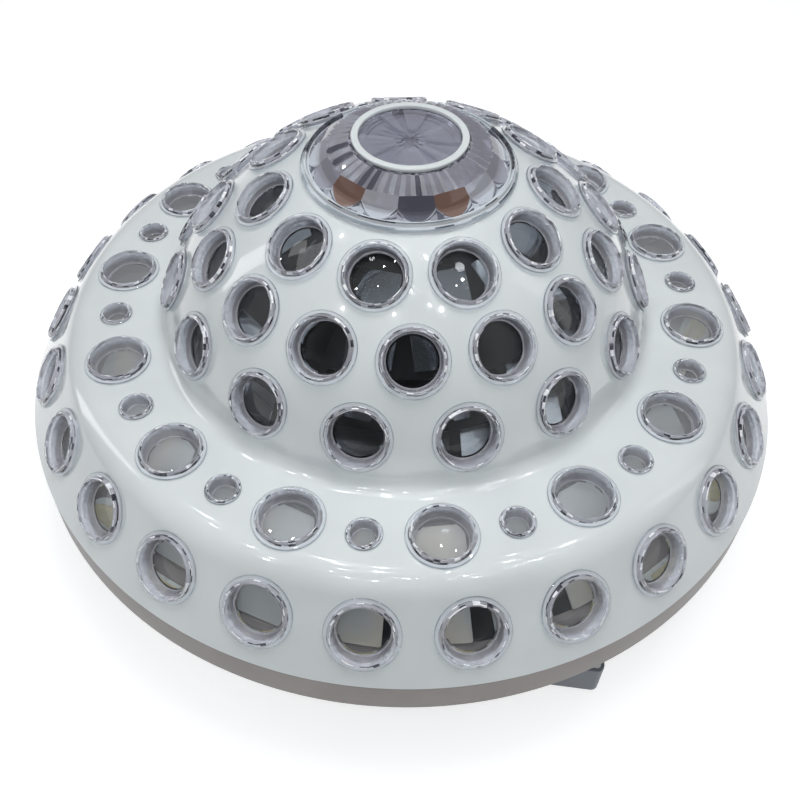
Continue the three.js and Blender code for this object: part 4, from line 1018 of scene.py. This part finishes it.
def basket_parts():
    """A spherical wall, and tiers of (low, high, count) rectangular mirrors standing just off it."""
    lifts = np.linspace(BASKET_TIERS[0][0], BASKET_TIERS[-1][1], 24)
    outside = BASKET_RADIUS - 3.4
    face, back = ([on_sphere(radius, a) for a in lifts] for radius in (outside, outside - BASKET_WALL))
    # The basket's wall is black: painted shade.
    parts = [part(lathe(face + back[::-1] + face[:1], 96), black_painted_shade)]
    random = np.random.default_rng(12)
    flat = BASKET_RADIUS - MIRROR_STAND
    for low, high, count in BASKET_TIERS:
        lift = (low + high) / 2
        tall = MIRROR_SHARE * flat * math.radians(high - low)
        wide = MIRROR_SHARE * 2 * math.pi * flat * math.cos(math.radians(high - 2)) / count
        tile, tile_faces = stack(
            rounded_outline(wide, tall, 1.2, 2), [(None, -0.9), (0, -0.9), (0, -0.15), (0.15, 0), (None, 0)]
        )
        for basis, middle in zip(*row_frames(count, low, *on_sphere(flat, lift), lift)):
            if random.uniform() < MIRROR_GAPS:
                continue
            tip = np.radians(random.uniform(-MIRROR_TIP, MIRROR_TIP, 2))
            out = basis[2] + tip[0] * basis[0] + tip[1] * basis[1]
            out /= np.linalg.norm(out)
            along = np.cross(basis[1], out)
            along /= np.linalg.norm(along)
            parts.append((place(tile, middle, along, np.cross(out, along)), [tile_faces], mirror_film))
    return parts


put("basket_with_mirrors", basket_parts(), "rotor", ["mirror_basket"])

# %% [markdown]
# ## The pan
# The pan is drawn from steel sheet: a flat floor and an upright rim with a crisp folded edge, which is
# the taupe band under the white. A turned profile with tight bends gives the band its sharp upper line.

# %% Base pan
PAN_BOTTOM, PAN_WALL, PAN_BEND, RIM_Z = 72.0, 2.0, 2.5, 101.0
PAN_CABLE_HOLE, FAN_AT, FAN_DUCT = 30.0, (60.0, 120.0), 36.0


def pan_profile():
    """Floor, a bend up to the rim (its centre plus r cos a, r sin a), a rounded top edge, and back down."""
    turn = np.radians(np.linspace(-90, 0, 7))
    middle = np.array([RIM_RADIUS - PAN_BEND, PAN_BOTTOM + PAN_BEND])
    bottom = middle + PAN_BEND * np.stack([np.cos(turn), np.sin(turn)], axis=-1)
    return [
        (0, PAN_BOTTOM), *bottom, (RIM_RADIUS, RIM_Z - 0.5), (RIM_RADIUS - 0.4, RIM_Z),
        (RIM_RADIUS - PAN_WALL + 0.4, RIM_Z), (RIM_RADIUS - PAN_WALL, RIM_Z - 0.4),
        (RIM_RADIUS - PAN_WALL, PAN_BOTTOM + PAN_WALL), (0, PAN_BOTTOM + PAN_WALL),
    ]


def bar(radius, height, x=0.0, y=0.0, reach=5.0):
    """A closed round bar along Z, which reaches as far below a height as above it, as a cutter."""
    bottom, top = height - reach, height + reach
    points, faces = lathe([(0, bottom), (radius, bottom), (radius, top), (0, top)], 48)
    return points + [x, y, 0], faces


pan = put("steel_pan", [part(lathe(pan_profile(), 240), taupe_paint)], "base", ["base_pan"])
floor_middle = PAN_BOTTOM + PAN_WALL / 2
cut(pan, [bar(PAN_CABLE_HOLE, floor_middle), bar(FAN_DUCT, floor_middle, *FAN_AT)])

# %% [markdown]
# ## The chassis case
# Under the pan hangs a shallow case of folded steel with four flats. It could be a box with a Bevel
# modifier, but its walls are arcs between flats, so it is an outline carried upwards, drawn in a little
# at each fold as bent sheet is. Vents, the panel's opening and the holes for the studs are cut last.

# %% Chassis case
CHASSIS_RADIUS, CHASSIS_HALF_X, CHASSIS_HALF_Y = 250.0, 160.0, 234.0
CHASSIS_LOW, CHASSIS_TOP, CHASSIS_WALL, PANEL_MID = 6.0, 71.7, 2.0, 39.0
PIVOT_Z, PIVOT_HOLE = 36.0, 5.6


def chassis_outline(inset):
    """A circle with four flats: radius = min(R, X / |sin a|, Y / |cos a|), each drawn in by the inset."""
    radius, half_x, half_y = CHASSIS_RADIUS - inset, CHASSIS_HALF_X - inset, CHASSIS_HALF_Y - inset
    corner_x, corner_y = math.asin(half_x / radius), math.acos(half_y / radius)
    quarter = np.concatenate([
        np.linspace(0, corner_y, 5), np.linspace(corner_y, corner_x, 12)[1:],
        np.linspace(corner_x, np.pi / 2, 8)[1:-1],
    ])
    half = np.concatenate([quarter, [np.pi / 2], np.pi - quarter])
    angle = np.unique(np.concatenate([half, half + np.pi]).round(9) % (2 * np.pi))
    with np.errstate(divide="ignore"):
        flats = np.minimum(half_x / np.abs(np.sin(angle)), half_y / np.abs(np.cos(angle)))
    radius = np.minimum(radius, flats)
    return around(radius, angle, 0)[:, :2]


floor_z, wall = CHASSIS_LOW + CHASSIS_WALL, CHASSIS_WALL
case_rows = [
    (None, CHASSIS_LOW), (2.5, CHASSIS_LOW), (1.2, CHASSIS_LOW + 0.4), (0.4, CHASSIS_LOW + 1.2),
    (0, CHASSIS_LOW + 2.5), (0, CHASSIS_TOP - 0.3), (0.3, CHASSIS_TOP), (wall - 0.3, CHASSIS_TOP),
    (wall, CHASSIS_TOP - 0.3), (wall, floor_z), (None, floor_z),
]
case_parts = [part(stack(chassis_outline, case_rows), white_paint)]
case = put("folded_case", case_parts, "base", ["chassis_case"])
VENT_COUNT, VENT_PITCH, VENT_WIDTH, VENT_HEIGHT, VENT_CORNER = 7, 16.0, 6.0, 34.0, 2.9
PANEL_OPENING = (222.0, 36.0, 3.0)


def slot_cutter(width, height, corner, middle, right, up=(0, 0, 1), reach=8.0):
    """A rounded slot as a closed bar through a wall, drawn across two directions."""
    points, faces = stack(
        rounded_outline(width, height, corner, 4), [(None, -reach), (0, -reach), (0, reach), (None, reach)]
    )
    return place(points, middle, right, up), faces


def hole_cutter(radius, middle, right, reach=8.0):
    """A round hole is a slot as wide as it is high, whose corners are nearly its radius."""
    return slot_cutter(2 * radius, 2 * radius, radius - 0.05, middle, right, reach=reach)


vents = [(CHASSIS_HALF_X, (i - (VENT_COUNT - 1) / 2) * VENT_PITCH, PANEL_MID) for i in range(VENT_COUNT)]
case_cuts = [slot_cutter(VENT_WIDTH, VENT_HEIGHT, VENT_CORNER, middle, (0, 1, 0)) for middle in vents]
case_cuts.append(slot_cutter(*PANEL_OPENING, (-CHASSIS_HALF_X, 0, PANEL_MID), (0, -1, 0)))
case_cuts.append(bar(FAN_DUCT, CHASSIS_LOW + CHASSIS_WALL / 2, *FAN_AT))
case_cuts += [
    hole_cutter(PIVOT_HOLE, (0, side * CHASSIS_HALF_Y, PIVOT_Z), (1, 0, 0)) for side in (-1, 1)
]
cut(case, case_cuts)

# %% [markdown]
# ## Rubber feet
# The light stands on four soft feet. Each is turned, a little wider towards its rounded sole, with a
# recess there for its screw, so one profile serves all four.

# %% Rubber feet
FOOT_X, FOOT_Y = 120.0, 170.0
foot_profile = [
    (0, 5.7), (13.2, 5.7), (13.6, 5.4), (14, 1.4), (13.6, 0.5), (12.8, 0), (9.4, 0), (9, 0.4), (8.6, 2.4),
    (5, 2.4), (4.6, 2.0), (0, 2.0),
]
foot_points, foot_faces = lathe(foot_profile, 48)
for end, y in (("front", -FOOT_Y), ("rear", FOOT_Y)):
    for side, x in (("left", -FOOT_X), ("right", FOOT_X)):
        parts = [(foot_points + [x, y, 0], [foot_faces], black_rubber)]
        put(f"{end}_{side}_pad", parts, "base", [f"{end}_{side}_foot"])

# %% [markdown]
# ## The yoke
# The light hangs from a strap of steel that is folded out to its right: two arms on the studs and a
# crossbar with a hole for a clamp's bolt and two smaller ones beside it. The strap is a small rounded
# section carried along a path, which keeps its thickness even round the folds. A flat lip folded along
# the crossbar's top keeps the white paint and catches the light from above, while the strap is painted
# grey: painted shade for the shadow under the pan.

# %% Yoke
YOKE_REACH, YOKE_OUTER, YOKE_PLATE, YOKE_CORNER, YOKE_TAIL = 175.0, 241.999, 3.0, 5.5, -17.0
YOKE_LOW, YOKE_HIGH, YOKE_LIP, YOKE_SOFT = 21.0, 51.0, 8.0, 0.5
BOLT_HOLE, SIDE_HOLE, SIDE_HOLE_Y, YOKE_CUT_REACH = 6.5, 4.5, 60, 6


def yoke_path(steps=10):
    """The strap's outer face, seen from above: an arm, a quarter turn, the crossbar, a turn and an arm."""
    turn = np.radians(np.linspace(0, 90, steps))
    x = YOKE_REACH - YOKE_CORNER + YOKE_CORNER * np.sin(turn)
    y = YOKE_OUTER - YOKE_CORNER * (1 - np.cos(turn))
    front, rear = np.stack([x, -y], axis=-1), np.stack([x, y], axis=-1)[::-1]
    return np.concatenate([[(YOKE_TAIL, -YOKE_OUTER)], front, rear, [(YOKE_TAIL, YOKE_OUTER)]])


def yoke_parts():
    """A rounded section carried along the path: each point moves in by its depth and sits at its height."""
    path = yoke_path()
    step = np.gradient(path, axis=0)
    step /= np.linalg.norm(step, axis=1, keepdims=True)
    inward = np.stack([-step[:, 1], step[:, 0]], axis=-1)
    soft, inner = YOKE_SOFT, YOKE_PLATE - YOKE_SOFT
    section = np.array([
        (soft, YOKE_LOW), (0, YOKE_LOW + soft), (0, YOKE_HIGH - soft), (soft, YOKE_HIGH),
        (inner, YOKE_HIGH), (YOKE_PLATE, YOKE_HIGH - soft), (YOKE_PLATE, YOKE_LOW + soft),
        (inner, YOKE_LOW),
    ])
    flat = path[:, None] + inward[:, None] * section[None, :, :1]
    rings = np.concatenate([flat, np.broadcast_to(section[None, :, 1:], (*flat.shape[:2], 1))], axis=-1)
    ends = [np.broadcast_to(rings[i].mean(axis=0), rings[:1].shape) for i in (0, -1)]
    rings = np.concatenate([ends[0], rings, ends[1]])
    lip, lip_faces = stack(
        rounded_outline(YOKE_LIP, 2 * (YOKE_OUTER - 0.6), 3.5, 5),
        [(None, YOKE_HIGH - YOKE_PLATE), (0.4, YOKE_HIGH - YOKE_PLATE), (0, YOKE_HIGH - 2.6),
         (0, YOKE_HIGH - 0.45), (0.4, YOKE_HIGH - 0.05), (None, YOKE_HIGH - 0.05)],
    )
    lip = lip + [YOKE_REACH - YOKE_LIP / 2 - YOKE_PLATE / 2, 0, 0]
    # The strap takes the grey painted shade, the lip the white paint.
    return [(rings, [grid_faces(len(rings), len(section))], grey_painted_shade), (lip, [lip_faces], white_paint)]


yoke = put("strap_yoke", yoke_parts(), "yoke", ["yoke"])
bolt_x, stud_y = YOKE_REACH - YOKE_PLATE / 2, YOKE_OUTER - YOKE_PLATE / 2
yoke_cuts = [
    hole_cutter(radius, (bolt_x, y, PIVOT_Z), (0, 1, 0), YOKE_CUT_REACH)
    for y, radius in ((0, BOLT_HOLE), (-SIDE_HOLE_Y, SIDE_HOLE), (SIDE_HOLE_Y, SIDE_HOLE))
]
yoke_cuts += [
    hole_cutter(PIVOT_HOLE, (0, side * stud_y, PIVOT_Z), (1, 0, 0), YOKE_CUT_REACH) for side in (-1, 1)
]
cut(yoke, yoke_cuts)

# %% [markdown]
# ## Clamp knobs and washers
# Two six-lobed knobs clamp the yoke on its studs. A knob is a lobed outline with soft edges: its radius
# falls by half the lobe depth times one minus the cosine of six times the angle.

# %% Knobs, studs and washers
KNOB_RADIUS, KNOB_LOBES, KNOB_LOBE_DEPTH = 18.0, 6, 3.5
BOSS_START, GRIP_START, STUD_START, WASHER_START = YOKE_OUTER + 0.3, 245.3, 218.0, 234.3
STUD_RADIUS, STUD_END = 5.0, 246.0


def knob_outline(inset):
    """radius = R - inset - depth (1 - cos 6a) / 2."""
    angle = 2 * np.pi * np.arange(96) / 96
    radius = KNOB_RADIUS - inset - KNOB_LOBE_DEPTH * (1 - np.cos(KNOB_LOBES * angle)) / 2
    return np.stack([radius * np.cos(angle), radius * np.sin(angle)], axis=-1)


grip = stack(knob_outline, above(GRIP_START, [
    (None, 0), (1.2, 0), (0.3, 0.6), (0, 1.7), (0, 11.2), (0.5, 12.7), (1.6, 13.7), (3, 14), (8.5, 14),
    (9, 13.6), (None, 13.6),
]))
boss = lathe([*above(BOSS_START, [(0, 0), (9.6, 0), (10, 0.4)]), (10, STUD_END), (0, STUD_END)], 48)
stud_foot = above(STUD_START, [(0, 0), (STUD_RADIUS - 0.6, 0), (STUD_RADIUS, 0.6)])
stud = lathe([*stud_foot, (STUD_RADIUS, STUD_END), (0, STUD_END)], 32)
washer = lathe(above(WASHER_START, [
    (PIVOT_HOLE, 0), (14.4, 0), (15, 0.6), (15, 3.8), (14.4, 4.4), (PIVOT_HOLE, 4.4), (PIVOT_HOLE, 0)
]), 48)
for end, right in (("front", (1, 0, 0)), ("rear", (-1, 0, 0))):
    *knob, ring = [
        (place(points, (0, 0, PIVOT_Z), right, (0, 0, 1)), [faces], material)
        for (points, faces), material in (
            (grip, black_plastic), (boss, black_plastic), (stud, bare_steel), (washer, black_rubber)
        )
    ]
    put(f"{end}_lobed_knob", knob, f"{end}_knob", [f"{end}_clamp_knob"])
    put(f"{end}_rubber_washer", [ring], "base", [f"{end}_friction_washer"])

# %% [markdown]
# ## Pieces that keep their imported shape
# The drive, the light engine, the supply and the fan lie inside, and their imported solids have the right
# form. They stay, and each gets the finish of its real material.

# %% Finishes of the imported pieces
finishes = {
    bare_steel: [
        "front_lock_nut", "rear_lock_nut", "safety_eye", "motor_bracket", "rotor_shaft", "power_supply",
        *(f"pan_screw_{i}" for i in range(1, 6)),
    ],
    bare_aluminium: ["heat_sink", "drive_motor"],
    brass: ["shaft_bush"],
    circuit_board: ["led_board"],
    control_mask: ["control_board"],
    clear_smooth: ["collimator_plate"],
    dark_glass: ["display_window"],
    black_rubber: ["mode_button", "down_button", "up_button", "enter_button"],
    black_plastic: [
        "control_panel", "signal_in_socket", "signal_out_socket", "power_inlet", "switch_housing",
        "switch_rocker", "rotor_hub", "fan_frame", "fan_rotor",
    ],
}
for material, names in finishes.items():
    for name in names:
        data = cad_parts[name].data
        data.materials.clear()
        data.materials.append(material)
print("packed pieces finished:", sum(len(names) for names in finishes.values()))

# %% [markdown]
# ## Floor and light
# A pale floor and a soft sky stand in for a studio. One large softbox overhead gives the shape, and a
# fill beside the camera lights what the windows show; both are kept out of reflections. Two long ones at
# the sides draw the bright lines along the shoulder and the root of the dome, and a grid of small lamps
# gives the round sparks that gloss and clear plastic show.

# %% Floor
FLOOR_HALF, FLOOR_GLOW, FLOOR_CLOUD = 6.0, 0.66, 1000 / 3
floor_material = surface(
    "matt_white_paper_floor",
    {"Roughness": 0.9, "IOR": 1.4},
    ("#C4C7C9", "#C9CBCD", noise(FLOOR_CLOUD), 0.3, 0.7),
)


def seen_rays(tree):
    """1 for rays that end in the picture: straight to the camera, off a gloss or through clear plastic."""
    path = add_node(tree, "ShaderNodeLightPath")
    seen = (path, "Is Camera Ray")
    for ray in ("Is Glossy Ray", "Is Transmission Ray"):
        seen = (add_node(tree, "ShaderNodeMath", {0: seen, 1: (path, ray)}, operation="MAXIMUM"), "Value")
    return seen


def whiten_floor(tree):
    """Adds a glow that only the picture sees: the paper is white, and the light on the part stays soft."""
    shader, output = ends_of(tree)
    level = add_node(tree, "ShaderNodeMath", {0: seen_rays(tree), 1: FLOOR_GLOW}, operation="MULTIPLY")
    glow = add_node(tree, "ShaderNodeEmission", {"Strength": (level, "Value")})
    both = add_node(tree, "ShaderNodeAddShader", {0: (shader, "BSDF"), 1: (glow, "Emission")})
    tree.links.new(both.outputs["Shader"], output.inputs["Surface"])


whiten_floor(floor_material.node_tree)
floor_mesh = bpy.data.meshes.new("floor")
corners = [(x * FLOOR_HALF, y * FLOOR_HALF, 0) for x, y in ((-1, -1), (1, -1), (1, 1), (-1, 1))]
floor_mesh.from_pydata(corners, [], [(0, 1, 2, 3)])
floor_mesh.materials.append(floor_material)
linked("floor", floor_mesh)
print("floor", 2 * FLOOR_HALF, "m wide")


# %% Lamps
def lamp(name, at, size, power, shape="RECTANGLE", width=None, seen=True):
    """An area lamp turned towards the part. It may be kept out of what gloss and clear plastic show."""
    data = bpy.data.lights.new(name, "AREA")
    data.shape = shape
    data.size = size
    if width:
        data.size_y = width
    data.energy = power
    light = linked(name, data)
    light.location = at
    light.rotation_euler = (MIDDLE - light.location).to_track_quat("-Z", "Y").to_euler()
    light.visible_glossy = light.visible_transmission = seen


MIDDLE = Vector((0.0, 0.0, 0.2))
lamp("top_softbox", (0.1, 0.3, 2.2), 1.6, 18, width=1.0, seen=False)
lamp("left_softbox", (-2.0, 0.3, 1.3), 0.3, 3.2, width=1.6)
lamp("right_softbox", (2.0, 0.2, 1.2), 0.3, 1.0, width=1.6)
lamp("front_fill", (0.1, -1.05, 1.35), 0.6, 7.2, width=0.6, seen=False)
SPARK_SIZE, SPARK_POWER, SPARK_HEIGHT, SPARK_PITCH = 0.044, 0.26, 1.7, 0.32
spark_random = np.random.default_rng(3)
for column in range(5):
    for row in range(5):
        shift = spark_random.uniform(-0.13, 0.13, 2)
        x, y = (column - 2) * SPARK_PITCH + shift[0], (row - 2.6) * SPARK_PITCH + shift[1]
        share = spark_random.uniform(0.6, 1.3)
        size, power = SPARK_SIZE * share, SPARK_POWER * share**2
        lamp(f"spark_{column}_{row}", (x, y, SPARK_HEIGHT), size, power, "DISK")
print("lamps", len(bpy.data.lights))

# %% [markdown]
# ## The sky
# The sky has three levels. It lights the part softly. To gloss and clear plastic it shows a brighter
# level, which falls off towards the side behind the camera: a dark end of the studio, whose reflection
# makes the front windows dark and gives the white gloss its shading. The camera alone sees it white.

# %% Sky
SKY_LIGHT, SKY_SEEN, SKY_DARK, SKY_WHITE = 0.16, 0.6, 0.08, 1.25
DARK_SIDE, DARK_FROM, DARK_TO = (0.05, -0.8, 0.6), 0.7, 0.85
world = bpy.data.worlds.new("soft_sky")
world.use_nodes = True
tree = world.node_tree
tree.nodes.clear()
way = (add_node(tree, "ShaderNodeTexCoord"), "Generated")
side = add_node(tree, "ShaderNodeVectorMath", {0: way, 1: DARK_SIDE}, operation="DOT_PRODUCT")
levels = {"From Min": DARK_FROM, "From Max": DARK_TO, "To Min": SKY_SEEN, "To Max": SKY_DARK}
seen_level = add_node(tree, "ShaderNodeMapRange", {"Value": (side, "Value"), **levels})
brighter = add_node(tree, "ShaderNodeMix", {0: seen_rays(tree), 2: SKY_LIGHT, 3: (seen_level, "Result")})
camera_ray = (add_node(tree, "ShaderNodeLightPath"), "Is Camera Ray")
whiter = add_node(tree, "ShaderNodeMix", {0: camera_ray, 2: (brighter, 0), 3: SKY_WHITE})
sky = add_node(tree, "ShaderNodeBackground", {"Color": linear("#E4E7EA"), "Strength": (whiter, 0)})
add_node(tree, "ShaderNodeOutputWorld", {"Surface": (sky, "Background")})
bpy.context.scene.world = world
bpy.context.scene.view_settings.view_transform = "Standard"
print("levels of the sky", SKY_LIGHT, SKY_SEEN, SKY_DARK)
